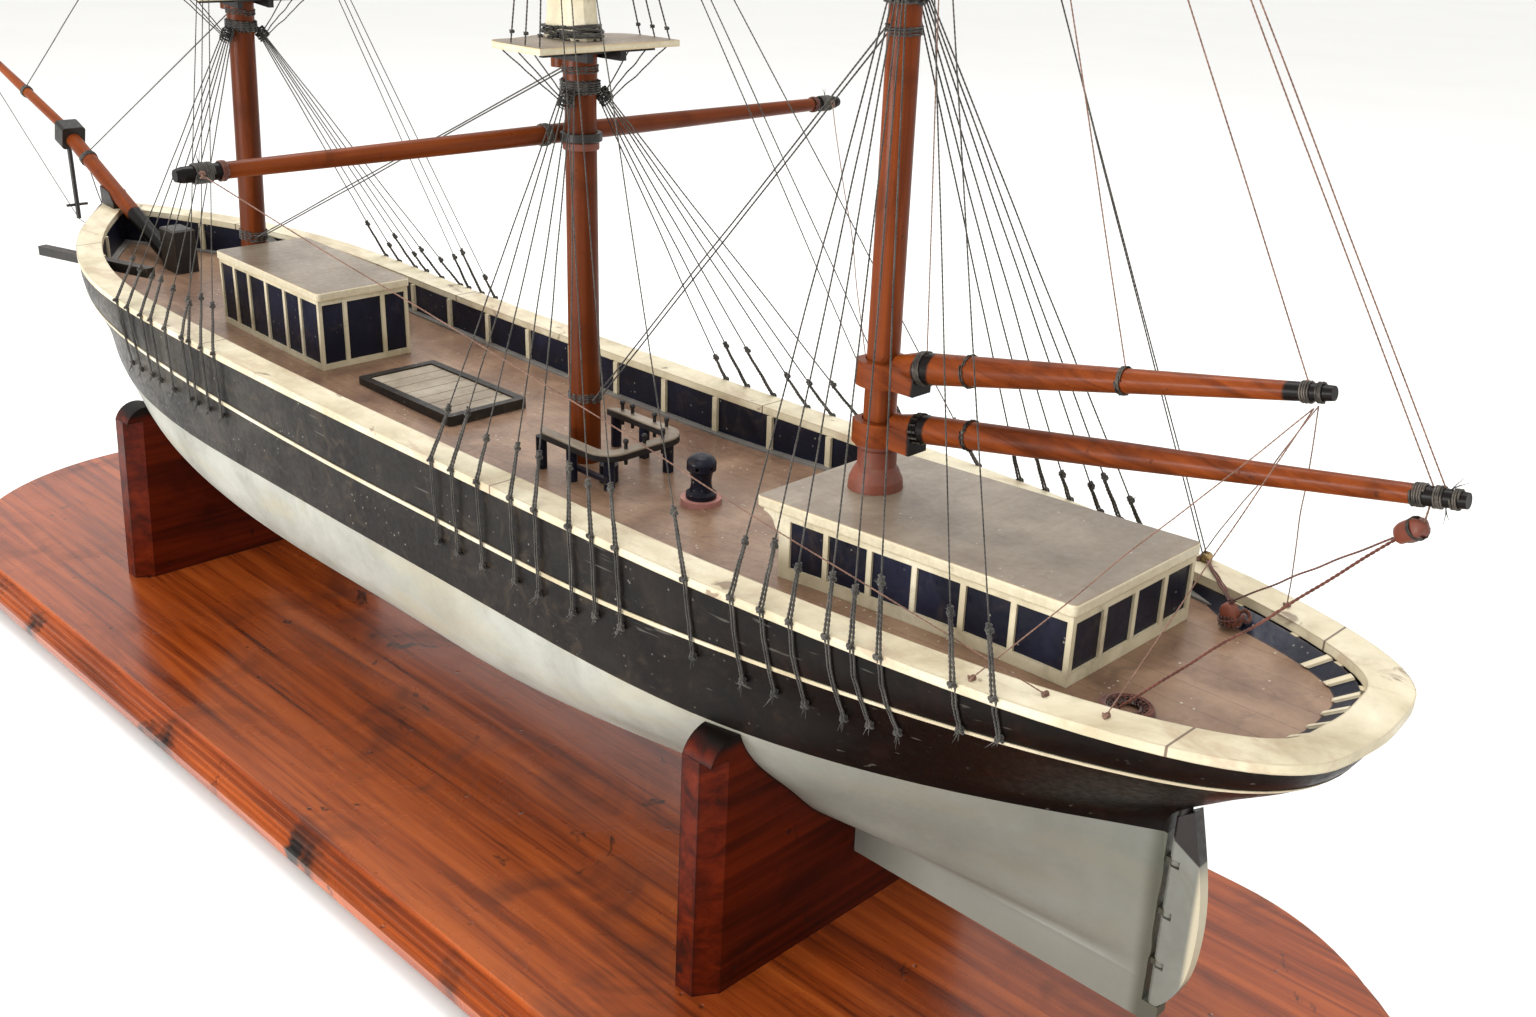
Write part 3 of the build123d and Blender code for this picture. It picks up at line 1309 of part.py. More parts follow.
# Stays run forward and down, each from a ring on its mast to a ring on the next spar.
stay_parts = [
    mast_ring("main", 296.0, 3.0, 6.0, 8.0),
    mast_ring("fore", 190.0, 6.0, 5.9, 8.0),
    mast_ring("mizzen", 322.0, 3.0, 4.8, 6.8),
    mast_ring("main", 174.0, 4.0, 5.9, 8.0),
    mast_ring("fore", 296.0, 3.0, 6.0, 8.0),
    spar_ring(bowsprit_plane, 92, 4, 4.0, 5.6),
    spar_ring(jib_plane, 55, 3, 2.7, 4.1),
    mast_ring("fore", 390.0, 3.0, 3.3, 5.2, TOPMAST_AHEAD),
    spar_ring(jib_plane, 150, 2.4, 1.5, 2.9),
    mast_ring("fore", 520.0, 2.4, 1.9, 3.4, TOPGALLANT_AHEAD),
    mast_ring("main", 400.0, 3.0, 3.3, 5.2, TOPMAST_AHEAD),
    mast_ring("fore", 312.0, 3.0, 4.4, 6.4),
    rope([along_mast("fore", 297.5, 7.2), along_spar(bowsprit_plane, 94, 5.0)], STAY_R),
    rope([along_mast("fore", 391.5, TOPMAST_AHEAD + 4.4), along_spar(jib_plane, 56.5, 3.6)], STAY_R),
    rope([along_mast("fore", 521.2, TOPGALLANT_AHEAD + 2.8), along_spar(jib_plane, 151.2, 2.4)], STAY_R),
    rope([along_mast("main", 401.5, TOPMAST_AHEAD + 4.4), along_mast("fore", 313.5, -5.6)], STAY_R),
    rope([along_spar(jib_plane, 151.2, -2.4), (410.0, 0.0, 163.4), (361.5, 0.0, 158.0)], LINE_R),
    rope([along_spar(bowsprit_plane, 94, -5.0), (358.6, 0.0, 152.0)], STAY_R),
]
for side in (-1, 1):
    stay_parts.append(
        rope([along_mast("main", 297.5, 7.0, 1.6 * side), along_mast("fore", 193.5, -7.0, 1.6 * side)], STAY_R)
    )
    stay_parts.append(
        rope([along_mast("mizzen", 323.5, 6.0, 1.5 * side), along_mast("main", 176.0, -7.0, 1.5 * side)], STAY_R)
    )
stay_cutters = list(MAST_BODIES.values()) + list(topmasts.values()) + list(topgallants.values())
with BuildPart() as stays:
    for piece in stay_parts:
        add(piece)
    for spar in stay_cutters + [bowsprit, jibboom, dolphin_striker]:
        add(spar, mode=Mode.SUBTRACT)
    add(hull_outer, mode=Mode.SUBTRACT)
save(stays, "stays")
print("stays", len(stays.part.solids()))

# ================================================================ running rigging
# The lifts and halliards hang from rings that turn on the mizzen, so they swing with their spar.
BLOCK_X = -375.6
boom_axis_z = 205.6 + (234.2 - 205.6) * (-211.5 - BLOCK_X) / (384 - 211.5)


def block(x, y, bottom, height, width, thickness):
    """A wooden block: an upright rounded slab with a groove for its strop."""
    with BuildPart() as body:
        with BuildSketch(Plane(origin=(x, y, bottom + height / 2), x_dir=(1, 0, 0), z_dir=(0, -1, 0))):
            Ellipse(width / 2, height / 2)
        extrude(amount=thickness / 2, both=True)
        fillet(body.edges(), thickness * 0.25)
    return body.part


lift_head = (MIZZEN_X - 3.2, 1.0, 505.5)
SHEET_BLOCK = (-314.0, -34.5)
COIL = (-321.0, 30.0)
stern_deck = deck_height(-320) + 0.06
BLOCK_TOP = Vector(BLOCK_X, 0, 225.4)
BLOCK_LENGTH = 11.0
sheet_run = (Vector(SHEET_BLOCK[0], SHEET_BLOCK[1], stern_deck + 9.0) - BLOCK_TOP).normalized()
with BuildPart() as boom_block:
    with BuildSketch(Plane(origin=BLOCK_TOP, z_dir=sheet_run)):
        RectangleRounded(4.2, 4.6, 1.0)
    extrude(amount=BLOCK_LENGTH)
lift_parts = [
    mast_ring("mizzen", 504.0, 3.0, 2.25 + SWING_CLEARANCE, 4.4),
    boom_block.part,
    rope([BLOCK_TOP + sheet_run * 1.5, (BLOCK_X, 0, boom_axis_z + 4.0), lift_head], LINE_R),
    rope([(BLOCK_X - 3, 0, 230.6), (lift_head[0], -lift_head[1], lift_head[2])], LINE_R),
]
with BuildPart() as boom_tackle:
    for piece in lift_parts:
        add(piece)
    add(boom, mode=Mode.SUBTRACT)
save(boom_tackle, "boom_tackle")
print("boom tackle", len(boom_tackle.part.solids()))

peak_head = (MIZZEN_X - 3.4, 0.0, 495.5)
peak_parts = [
    mast_ring("mizzen", 494.0, 3.0, 2.4 + SWING_CLEARANCE, 4.6),
    rope([(-341.0, 0, 250.0), peak_head], LINE_R),
    rope([(-290.0, 0, 240.5), peak_head], LINE_R),
    rope([(-222.0, 0, 228.0), peak_head], LINE_R),
]
with BuildPart() as gaff_halliards:
    for piece in peak_parts:
        add(piece)
    add(gaff, mode=Mode.SUBTRACT)
save(gaff_halliards, "gaff_halliards")
print("halliards", len(gaff_halliards.part.solids()))

# A block and a coil on deck at the stern.
deck_block = block(SHEET_BLOCK[0], SHEET_BLOCK[1], stern_deck + 0.8, 7.5, 5.4, 4.0)
with BuildPart() as stern_tackle:
    add(deck_block)
    with BuildSketch(Plane.XY.offset(stern_deck)):
        with Locations(SHEET_BLOCK):
            Circle(2.6)
    extrude(amount=1.6)
    with BuildSketch(Plane.XY.offset(stern_deck)):
        with Locations(COIL):
            Circle(7.0)
            Circle(2.6, mode=Mode.SUBTRACT)
    extrude(amount=2.6)
save(stern_tackle, "stern_tackle")

# Lines from the swinging spars down to the rail.  They change length as the spars swing.
sheet_start = BLOCK_TOP + sheet_run * (BLOCK_LENGTH + 0.5)
tail_start = BLOCK_TOP + sheet_run * (BLOCK_LENGTH + 1.4) + Vector(-0.6, 1.4, -0.3)
joined(
    [
        rope([sheet_start, (SHEET_BLOCK[0], SHEET_BLOCK[1], stern_deck + 9.0)], LINE_R),
        rope([tail_start, (COIL[0], COIL[1] + 4.6, stern_deck + 3.2)], LINE_R),
    ],
    "boom_sheet",
)

GAFF_VANG = (-344.0, 248.0)
vangs = []
for side in (-1, 1):
    for x, y in ((-290.0, 57.5), (-325.0, 47.5)):
        vangs.append(rope([(GAFF_VANG[0], side * 1.0, 246.6), (x, side * y, sheer(x) + 0.4)], LINE_R))
joined(vangs, "gaff_vangs")

BRACE_START = (YARD_X - 3.7, 140.0, YARD_Z)
port_brace = rope(
    [BRACE_START, (-308.0, 50.0, sheer(-308) + 0.4)], LINE_R, knots=[BRACE_START],
)
starboard_start = (BRACE_START[0], -BRACE_START[1], BRACE_START[2])
starboard_brace = rope(
    [starboard_start, (MIZZEN_X + 5.0, -6.4, 194.0)], LINE_R, knots=[starboard_start],
)
joined([port_brace, starboard_brace], "yard_braces")
print("done")
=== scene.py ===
import math
import random

import bpy
import numpy as np
from mathutils import Matrix, Vector
from mathutils.bvhtree import BVHTree


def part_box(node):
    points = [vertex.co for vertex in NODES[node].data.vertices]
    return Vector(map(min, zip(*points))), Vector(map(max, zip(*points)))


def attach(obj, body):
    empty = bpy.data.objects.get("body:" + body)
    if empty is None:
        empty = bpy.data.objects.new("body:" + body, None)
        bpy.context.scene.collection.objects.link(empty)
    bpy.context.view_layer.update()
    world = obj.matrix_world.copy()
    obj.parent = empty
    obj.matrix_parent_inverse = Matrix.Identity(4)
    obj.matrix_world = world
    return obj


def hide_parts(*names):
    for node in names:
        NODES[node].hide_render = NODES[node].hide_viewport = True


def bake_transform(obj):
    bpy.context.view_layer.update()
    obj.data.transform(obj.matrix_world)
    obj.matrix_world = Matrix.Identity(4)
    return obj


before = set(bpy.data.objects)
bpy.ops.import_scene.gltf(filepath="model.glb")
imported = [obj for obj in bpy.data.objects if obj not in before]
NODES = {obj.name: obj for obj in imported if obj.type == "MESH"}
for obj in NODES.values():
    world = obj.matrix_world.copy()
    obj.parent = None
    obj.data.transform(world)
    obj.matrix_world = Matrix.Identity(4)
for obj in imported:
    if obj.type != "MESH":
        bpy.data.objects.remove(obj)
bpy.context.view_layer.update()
SHIP = "ship_and_stand"
MM = 0.001

# ---------------------------------------------------------------- camera and light
CAMERA_AT = (-0.4973, 0.3503, 0.3640)
CAMERA_HEADING = -45.88
CAMERA_PITCH = -22.64
CAMERA_ROLL = 1.99
CAMERA_LENS = 35.84
SENSOR_WIDTH = 36.0


def place_object(name, data):
    obj = bpy.data.objects.new(name, data)
    bpy.context.scene.collection.objects.link(obj)
    return obj


def make_camera():
    heading, pitch, roll = (math.radians(a) for a in (CAMERA_HEADING, CAMERA_PITCH, CAMERA_ROLL))
    ahead = Vector(
        (math.cos(heading) * math.cos(pitch), math.sin(heading) * math.cos(pitch), math.sin(pitch))
    )
    level = ahead.cross(Vector((0, 0, 1))).normalized()
    upright = level.cross(ahead)
    right = math.cos(roll) * level + math.sin(roll) * upright
    up = -math.sin(roll) * level + math.cos(roll) * upright
    data = bpy.data.cameras.new("photo_camera")
    data.lens = CAMERA_LENS
    data.sensor_width = SENSOR_WIDTH
    data.clip_start = 0.01
    data.clip_end = 50.0
    camera = place_object("photo_camera", data)
    turn = Matrix((right, up, -ahead)).transposed().to_4x4()
    camera.matrix_world = Matrix.Translation(CAMERA_AT) @ turn
    bpy.context.scene.camera = camera


def area_light(name, place, target, size, power, colour=(1.0, 1.0, 1.0)):
    data = bpy.data.lights.new(name, "AREA")
    data.shape = "DISK"
    data.size = size
    data.energy = power
    data.color = colour
    light = place_object(name, data)
    light.location = place
    light.rotation_euler = (Vector(target) - Vector(place)).to_track_quat("-Z", "Y").to_euler()


make_camera()
bpy.context.scene.view_settings.view_transform = "Standard"
world = bpy.data.worlds.new("soft_white")
bpy.context.scene.world = world
world.use_nodes = True
background = world.node_tree.nodes["Background"].inputs
background["Color"].default_value = (1.0, 0.995, 0.98, 1.0)
background["Strength"].default_value = 0.98
area_light("key", (-0.6, 1.1, 1.6), (0.0, 0.0, 0.12), 0.9, 8.0, (1.0, 0.985, 0.95))
area_light("top", (0.5, -0.3, 1.7), (0.0, 0.0, 0.1), 1.0, 17.0)
area_light("port_fill", (0.25, 1.6, 0.15), (0.02, 0.0, 0.08), 0.9, 32.0)
area_light("stern", (-1.6, -0.4, 0.8), (-0.1, 0.0, 0.12), 0.8, 1.0)


# ---------------------------------------------------------------- node graphs
class Graph:
    """One procedural material. Its methods add a node and return what it puts out."""

    def __init__(self, name):
        self.material = bpy.data.materials.new(name)
        self.material.use_nodes = True
        self.tree = self.material.node_tree
        self.tree.nodes.clear()
        self.output = self.tree.nodes.new("ShaderNodeOutputMaterial")
        self.shader = self.tree.nodes.new("ShaderNodeBsdfPrincipled")
        self.tree.links.new(self.shader.outputs[0], self.output.inputs[0])
        self.place = self.tree.nodes.new("ShaderNodeTexCoord").outputs["Object"]
        split = self.add("ShaderNodeSeparateXYZ", {0: self.place})
        self.x, self.y, self.z = split.outputs

    def add(self, kind, inputs, **settings):
        node = self.tree.nodes.new(kind)
        for name, value in settings.items():
            setattr(node, name, value)
        for key, value in inputs.items():
            self.feed(node.inputs[key], value)
        return node

    def feed(self, socket, value):
        if isinstance(value, bpy.types.NodeSocket):
            self.tree.links.new(value, socket)
        elif isinstance(value, (tuple, list)) and len(value) == 3 and socket.type == "RGBA":
            socket.default_value = (*value, 1.0)
        else:
            socket.default_value = value

    def stretched(self, x, y, z, turn=(0.0, 0.0, 0.0)):
        """Object coordinates in metres, turned, then scaled along each axis."""
        turned = self.place
        if any(turn):
            angles = tuple(math.radians(a) for a in turn)
            turned = self.add("ShaderNodeMapping", {0: turned, 2: angles}).outputs[0]
        return self.add("ShaderNodeMapping", {0: turned, 3: (x, y, z)}).outputs[0]

    def noise(self, where, scale, detail=5.0, roughness=0.55, distortion=0.0):
        inputs = {"Vector": where, "Scale": scale, "Detail": detail}
        inputs.update({"Roughness": roughness, "Distortion": distortion})
        return self.add("ShaderNodeTexNoise", inputs).outputs[0]

    def cells(self, where, scale):
        return self.add("ShaderNodeTexVoronoi", {"Vector": where, "Scale": scale}).outputs["Distance"]

    def ramp(self, factor, *stops):
        """A colour or grey for each position of a factor."""
        node = self.add("ShaderNodeValToRGB", {0: factor})
        marks = node.color_ramp.elements
        while len(marks) < len(stops):
            marks.new(1.0)
        for mark, (position, colour) in zip(marks, stops):
            mark.position = position
            rgb = colour if isinstance(colour, tuple) else (colour, colour, colour)
            mark.color = (*rgb, 1.0)
        return node.outputs[0]

    def step(self, value, low, high):
        """0 below low, 1 above high, smooth between."""
        inputs = {0: value, 1: low, 2: high}
        node = self.add("ShaderNodeMapRange", inputs, interpolation_type="SMOOTHSTEP")
        return node.outputs[0]

    def patches(self, low, high, *noise):
        """Patches where noise, of a given scale and detail, is above low."""
        return self.step(self.noise(self.place, *noise), low, high)

    def calc(self, operation, a, b=0.0):
        return self.add("ShaderNodeMath", {0: a, 1: b}, operation=operation).outputs[0]

    def times(self, a, b):
        return self.calc("MULTIPLY", a, b)

    def tint(self, colour, mask, share, shade):
        """The colour with a share of another where the mask is 1."""
        return self.mix(self.times(mask, share), colour, shade)

    def mix(self, factor, a, b, blend="MIX"):
        node = self.add("ShaderNodeMix", {}, data_type="RGBA", blend_type=blend)
        for key, value in ((0, factor), (6, a), (7, b)):
            self.feed(node.inputs[key], value)
        return node.outputs[2]

    def edges(self, radius, low=0.02, high=0.25):
        """1 at sharp edges, from how far a rounded normal leans from the face's own."""
        rounded = self.add("ShaderNodeBevel", {0: radius}, samples=4).outputs[0]
        flat = self.add("ShaderNodeNewGeometry", {}).outputs["Normal"]
        both = {0: rounded, 1: flat}
        lean = self.add("ShaderNodeVectorMath", both, operation="DOT_PRODUCT").outputs["Value"]
        return self.step(self.calc("SUBTRACT", 1.0, lean), low, high)

    def bump(self, *layers):
        """Bumps laid one on another, each a height with its depth in metres."""
        normal = None
        for height, depth in layers:
            inputs = {"Height": height, "Distance": depth, "Strength": 1.0}
            if normal:
                inputs["Normal"] = normal
            normal = self.add("ShaderNodeBump", inputs).outputs[0]
        self.feed(self.shader.inputs["Normal"], normal)

    def finish(self, colour, roughness, **constants):
        self.feed(self.shader.inputs["Base Color"], colour)
        self.feed(self.shader.inputs["Roughness"], roughness)
        for name, value in constants.items():
            self.shader.inputs[name.replace("_", " ")].default_value = value
        return self.material


GRAIN = {"x": (6.0, 160.0, 160.0), "y": (160.0, 6.0, 160.0), "z": (160.0, 160.0, 6.0)}


def varnished(name, light, middle, dark, along="x", rough=0.28, coat=0.35, wear=None, black=None, gloss=0.45):
    """Varnished wood: long grain, dark pores, blotches and dents, and wear along the edges."""
    g = Graph(name)
    run = g.stretched(*GRAIN[along])
    grain = g.noise(run, 1.0, 9.0, 0.62, 0.6)
    pores = g.noise(run, 4.2, 6.0, 0.7, 0.2)
    blotch = g.noise(g.place, 22.0, 4.0, 0.6, 0.8)
    colour = g.ramp(grain, (0.3, dark), (0.47, middle), (0.66, light))
    colour = g.tint(colour, g.step(pores, 0.56, 0.7), 0.65, dark)
    colour = g.mix(g.times(g.step(blotch, 0.5, 0.75), 0.5), colour, dark, "MULTIPLY")
    dents = g.cells(g.place, 95.0)
    dent = g.times(g.step(dents, 0.13, 0.04), g.patches(0.5, 0.62, 60.0))
    colour = g.tint(colour, dent, 0.75, (0.015, 0.006, 0.004))
    if wear:
        colour = g.tint(colour, g.edges(0.0012), wear[0], wear[1])
    if black:
        mask = black(g, blotch)
        colour = g.mix(mask, colour, (0.006, 0.004, 0.0035))
    roughness = g.ramp(blotch, (0.3, rough - 0.07), (0.7, rough + 0.16))
    g.bump((grain, 0.00012), (g.times(dent, -1.0), 0.00035), (pores, 0.00005))
    return g.finish(colour, roughness, Coat_Weight=coat, Coat_Roughness=0.12, Specular_IOR_Level=gloss)


def painted(name, colours, rough=0.5, stroke="x", dirt=0.5, dirt_colour=(0.09, 0.06, 0.035), wear=None,
            specks=0.0, extra=None, coat=0.0, gloss=0.4):
    """Old brushed paint: strokes along one axis, grime, worn edges and light specks."""
    g = Graph(name)
    run = g.stretched(*(v * 0.6 for v in GRAIN[stroke]))
    strokes = g.noise(run, 1.0, 6.0, 0.6, 0.3)
    cloud = g.noise(g.place, 30.0, 7.0, 0.6, 0.4)
    fine = g.noise(g.place, 420.0, 4.0, 0.65)
    colour = g.ramp(cloud, (0.32, colours[0]), (0.5, colours[1]), (0.68, colours[2]))
    colour = g.tint(colour, g.step(strokes, 0.45, 0.75), 0.35, colours[0])
    grime = g.times(g.patches(0.5, 0.72, 75.0, 8.0, 0.7, 1.2), dirt)
    colour = g.mix(grime, colour, dirt_colour)
    if wear:
        rub = g.times(g.edges(0.0011), g.step(cloud, 0.35, 0.6))
        colour = g.tint(colour, rub, wear[0], wear[1])
    if specks:
        spots = g.step(g.cells(g.place, 330.0), 0.16, 0.09)
        spots = g.times(spots, g.patches(0.52, 0.6, 95.0))
        colour = g.tint(colour, spots, specks, (0.62, 0.58, 0.48))
    if extra:
        colour = extra(g, colour, cloud, fine)
    roughness = g.ramp(fine, (0.3, max(0.05, rough - 0.1)), (0.7, min(1.0, rough + 0.14)))
    g.bump((strokes, 0.00006), (fine, 0.00004), (cloud, 0.0001))
    return g.finish(colour, roughness, Coat_Weight=coat, Coat_Roughness=0.2, Specular_IOR_Level=gloss)


def thread(name, dark, light):
    """Twisted cotton thread with soft fibres."""
    g = Graph(name)
    fuzz = g.noise(g.place, 2600.0, 3.0, 0.7)
    patch = g.noise(g.place, 140.0, 4.0, 0.6)
    colour = g.ramp(g.mix(0.5, fuzz, patch), (0.38, dark), (0.62, light))
    g.bump((fuzz, 0.00012))
    return g.finish(colour, 0.82, Sheen_Weight=0.25, Sheen_Roughness=0.5, Specular_IOR_Level=0.2)


def metal(name, bright, dull, rough=0.38, metallic=0.85):
    """Tarnished metal, dull in patches."""
    g = Graph(name)
    patina = g.noise(g.place, 260.0, 6.0, 0.65, 0.5)
    colour = g.ramp(patina, (0.36, dull), (0.6, bright))
    g.bump((patina, 0.00008))
    return g.finish(colour, g.ramp(patina, (0.3, rough + 0.2), (0.7, rough)), Metallic=metallic)


# Each paint has three shades from dark to light, and each wood three from light to dark.
# Near-black, for black paint and for painted shadow under the mast tops.
BLACK_PAINT_AND_SHADOW = (0.006, 0.0045, 0.004)
CREAM = [(0.42, 0.35, 0.22), (0.6, 0.53, 0.37), (0.72, 0.66, 0.5)]
GREY = [(0.24, 0.242, 0.208), (0.31, 0.313, 0.272), (0.38, 0.385, 0.338)]
# The hull's grey at about half its brightness: painted shade on the rudder and its gudgeons.
SHADED_RUDDER_GREY = [(0.12, 0.122, 0.104), (0.158, 0.16, 0.138), (0.2, 0.203, 0.176)]
BLACK = [(0.005, 0.004, 0.0035), (0.009, 0.0075, 0.0065), (0.018, 0.015, 0.012)]
NAVY = [(0.004, 0.004, 0.008), (0.007, 0.008, 0.018), (0.014, 0.016, 0.036)]
ROOF = [(0.15, 0.112, 0.078), (0.215, 0.172, 0.125), (0.29, 0.24, 0.18)]
MAHOGANY = [(0.4, 0.085, 0.014), (0.25, 0.044, 0.007), (0.07, 0.011, 0.003)]
CRADLE = [(0.11, 0.012, 0.002), (0.062, 0.006, 0.0012), (0.02, 0.003, 0.001)]
SPAR = [(0.22, 0.047, 0.008), (0.135, 0.027, 0.005), (0.055, 0.011, 0.002)]
DECK = [(0.13, 0.068, 0.04), (0.215, 0.125, 0.075), (0.32, 0.2, 0.125)]
HATCH = [(0.2, 0.155, 0.11), (0.3, 0.25, 0.185), (0.4, 0.345, 0.27)]
TRIM_GREY = [(0.12, 0.11, 0.1), (0.18, 0.165, 0.15), (0.25, 0.23, 0.2)]
ROSE = [(0.3, 0.12, 0.1), (0.42, 0.19, 0.16), (0.5, 0.26, 0.21)]
RED_BROWN = [(0.09, 0.02, 0.01), (0.15, 0.035, 0.017), (0.22, 0.06, 0.03)]
PALE = [(0.5, 0.38, 0.24), (0.36, 0.25, 0.15), (0.16, 0.1, 0.06)]

CAP_JOINTS = (-0.343, -0.095, 0.115, 0.29)
PLANK_WIDTH = 0.0112
TOP_UNDERSIDE = 0.3051
FORE_TOP_X = 0.189
FORE_TOP_TILT = 0.0787
FIFE_TOP_FACE = (0.1652, 0.16555, 0.1663, 0.1667)
FIFE_BLACK = (0.008, 0.007, 0.0075)
RUDDER_FRONT_X = -0.3253
RUDDER_BLACK_FROM = 0.1128


def cradle_black(limit):
    """A mask that blackens a cradle above a height, along its edges and in patches."""
    def mask(g, blotch):
        height = g.calc("ADD", g.z, g.times(blotch, 0.012))
        above = g.step(height, limit, limit + 0.005)
        rim = g.times(g.edges(0.0022, 0.02, 0.2), 0.9)
        patch = g.patches(0.63, 0.7, 42.0, 5.0, 0.6, 0.9)
        return g.calc("MAXIMUM", g.calc("MAXIMUM", above, rim), g.times(patch, 0.85))
    return mask


def board_black(g, blotch):
    """Black patches on the board: on its moulding and near its ends."""
    patch = g.patches(0.645, 0.7, 26.0, 5.0, 0.65, 1.1)
    low = g.step(g.z, 0.0205, 0.012)
    return g.calc("MAXIMUM", g.times(patch, 0.8), g.times(low, g.step(blotch, 0.52, 0.66)))


def topside_wear_shade_and_sheen(g, colour, cloud, fine):
    """Painted shade darkening the paint aft, red-brown rubbing aft, painted sheen lightening the fore part to
    grey, and scratches.
    """
    # Painted shade: the black darkens further aft.
    colour = g.tint(colour, g.step(g.x, -0.1, -0.26), 0.93, (0.003, 0.0022, 0.0018))
    # Painted sheen: a lighter grey in patches over the fore part.
    forward = g.step(g.x, -0.05, 0.33)
    sheen_mask = g.times(forward, g.step(cloud, 0.36, 0.66))
    colour = g.tint(colour, sheen_mask, 0.55, (0.11, 0.1, 0.082))
    aft = g.times(g.step(g.x, -0.08, -0.3), g.patches(0.48, 0.7, 55.0, 6.0, 0.65, 0.7))
    colour = g.tint(colour, aft, 0.12, (0.055, 0.018, 0.01))
    scratch = g.step(g.noise(g.stretched(30.0, 400.0, 400.0), 1.0, 2.0, 0.5), 0.68, 0.74)
    return g.tint(colour, scratch, 0.22, (0.26, 0.24, 0.2))


def bottom_stain_and_shade(g, colour, cloud, fine):
    """Yellow stains, painted shade darkening the grey aft, darker towards the keel, and painted shadow as a
    dark line at the rudder's gap.
    """
    stain = g.step(g.noise(g.stretched(12.0, 20.0, 34.0), 1.0, 6.0, 0.6, 0.6), 0.5, 0.68)
    colour = g.tint(colour, stain, 0.45, (0.36, 0.31, 0.2))
    # Painted shade: the grey darkens aft.
    colour = g.tint(colour, g.step(g.x, -0.14, -0.27), 0.72, (0.125, 0.126, 0.105))
    low = g.step(g.z, 0.078, 0.058)
    colour = g.tint(colour, low, 0.4, (0.2, 0.19, 0.155))
    # Painted shadow: a dark line on the hull's end where the gap before the rudder is.
    gap = g.step(g.x, -0.3185, -0.3235)
    return g.tint(colour, gap, 0.8, (0.05, 0.05, 0.03))


def rudder_black(g, colour, cloud, fine):
    """The rudder's head is black like the topsides, above a line that falls towards its trailing edge."""
    fall = g.times(g.calc("SUBTRACT", g.x, RUDDER_FRONT_X), 0.54)
    edge = g.calc("SUBTRACT", g.calc("ADD", g.z, g.times(cloud, 0.002)), fall)
    colour = g.tint(colour, g.step(g.x, -0.3345, -0.3365), 0.7, CREAM[1])
    return g.mix(g.step(edge, RUDDER_BLACK_FROM, RUDDER_BLACK_FROM + 0.0008), colour, (0.012, 0.009, 0.008))


def cap_wear(g, colour, cloud, fine):
    """Brown and pink worn patches on the cream rail."""
    patch = g.step(g.noise(g.stretched(26.0, 60.0, 60.0), 1.0, 6.0, 0.65, 0.8), 0.52, 0.62)
    colour = g.tint(colour, patch, 0.4, (0.4, 0.27, 0.18))
    bare = g.patches(0.63, 0.69, 60.0, 5.0, 0.6, 0.6)
    colour = g.tint(colour, bare, 0.7, (0.12, 0.06, 0.035))
    for place in CAP_JOINTS:
        joint = g.step(g.calc("ABSOLUTE", g.calc("SUBTRACT", g.x, place)), 0.0005, 0.0002)
        colour = g.tint(colour, joint, 0.85, (0.09, 0.045, 0.03))
    return colour


def deck_marks(g, colour, cloud, fine):
    """Plank seams of the deck, about 11 mm apart."""
    across = g.calc("FRACT", g.calc("DIVIDE", g.calc("ADD", g.y, 0.5), PLANK_WIDTH))
    seam = g.step(g.calc("ABSOLUTE", g.calc("SUBTRACT", across, 0.5)), 0.47, 0.492)
    return g.tint(colour, seam, 0.35, (0.05, 0.022, 0.014))


def roof_grain(g, colour, cloud, fine):
    """Fine grain across the roofs, and cream sides rubbed to yellow along their upper edge."""
    lines = g.noise(g.stretched(420.0, 14.0, 14.0), 1.0, 5.0, 0.6, 0.2)
    colour = g.tint(colour, g.step(lines, 0.45, 0.7), 0.4, (0.17, 0.12, 0.085))
    facing = g.add("ShaderNodeNewGeometry", {}).outputs["Normal"]
    level = g.add("ShaderNodeSeparateXYZ", {0: facing}).outputs[2]
    rubbed = g.times(g.edges(0.0014, 0.02, 0.2), g.step(cloud, 0.36, 0.5))
    colour = g.mix(g.step(level, 0.9, 0.72), colour, g.mix(fine, CREAM[0], CREAM[2]))
    return g.tint(colour, rubbed, 0.7, (0.5, 0.3, 0.09))


def top_edge(g, colour, cloud, fine):
    """A mast top: cream round its edge, and near-black below its underside, which is black paint on the bars
    and painted shadow under the platform.
    """
    colour = roof_grain(g, colour, cloud, fine)
    tilt = g.times(g.calc("SUBTRACT", g.x, FORE_TOP_X), FORE_TOP_TILT)
    height = g.calc("SUBTRACT", g.z, g.times(tilt, g.step(g.x, 0.05, 0.06)))
    # Painted shadow with black paint below the top's underside.
    return g.mix(g.step(height, TOP_UNDERSIDE, TOP_UNDERSIDE - 0.0003), colour, BLACK_PAINT_AND_SHADOW)


def fife_edge(g, colour, cloud, fine):
    """The fife rail is black below its weathered top face, and so are its pins."""
    edge = g.calc("ADD", g.z, g.times(cloud, 0.0006))
    below, face, top, above = FIFE_TOP_FACE
    colour = g.mix(g.step(edge, face, below), colour, FIFE_BLACK)
    return g.mix(g.step(edge, top, above), colour, FIFE_BLACK)


def gudgeon_shade_and_wear(g, colour, cloud, fine):
    """The rudder's darker grey, with painted shadow where the gudgeons sit in the gap, and worn in patches.
    """
    # Painted shadow: dark in the gap between hull and rudder.
    colour = g.mix(g.step(g.x, -0.3268, -0.3258), colour, (0.03, 0.028, 0.015))
    return g.tint(colour, g.step(fine, 0.5, 0.62), 0.4, (0.05, 0.045, 0.03))


def cradle_wood(name, black_from):
    black = cradle_black(black_from)
    return varnished(name, *CRADLE, along="y", rough=0.34, coat=0.0, black=black, gloss=0.1)


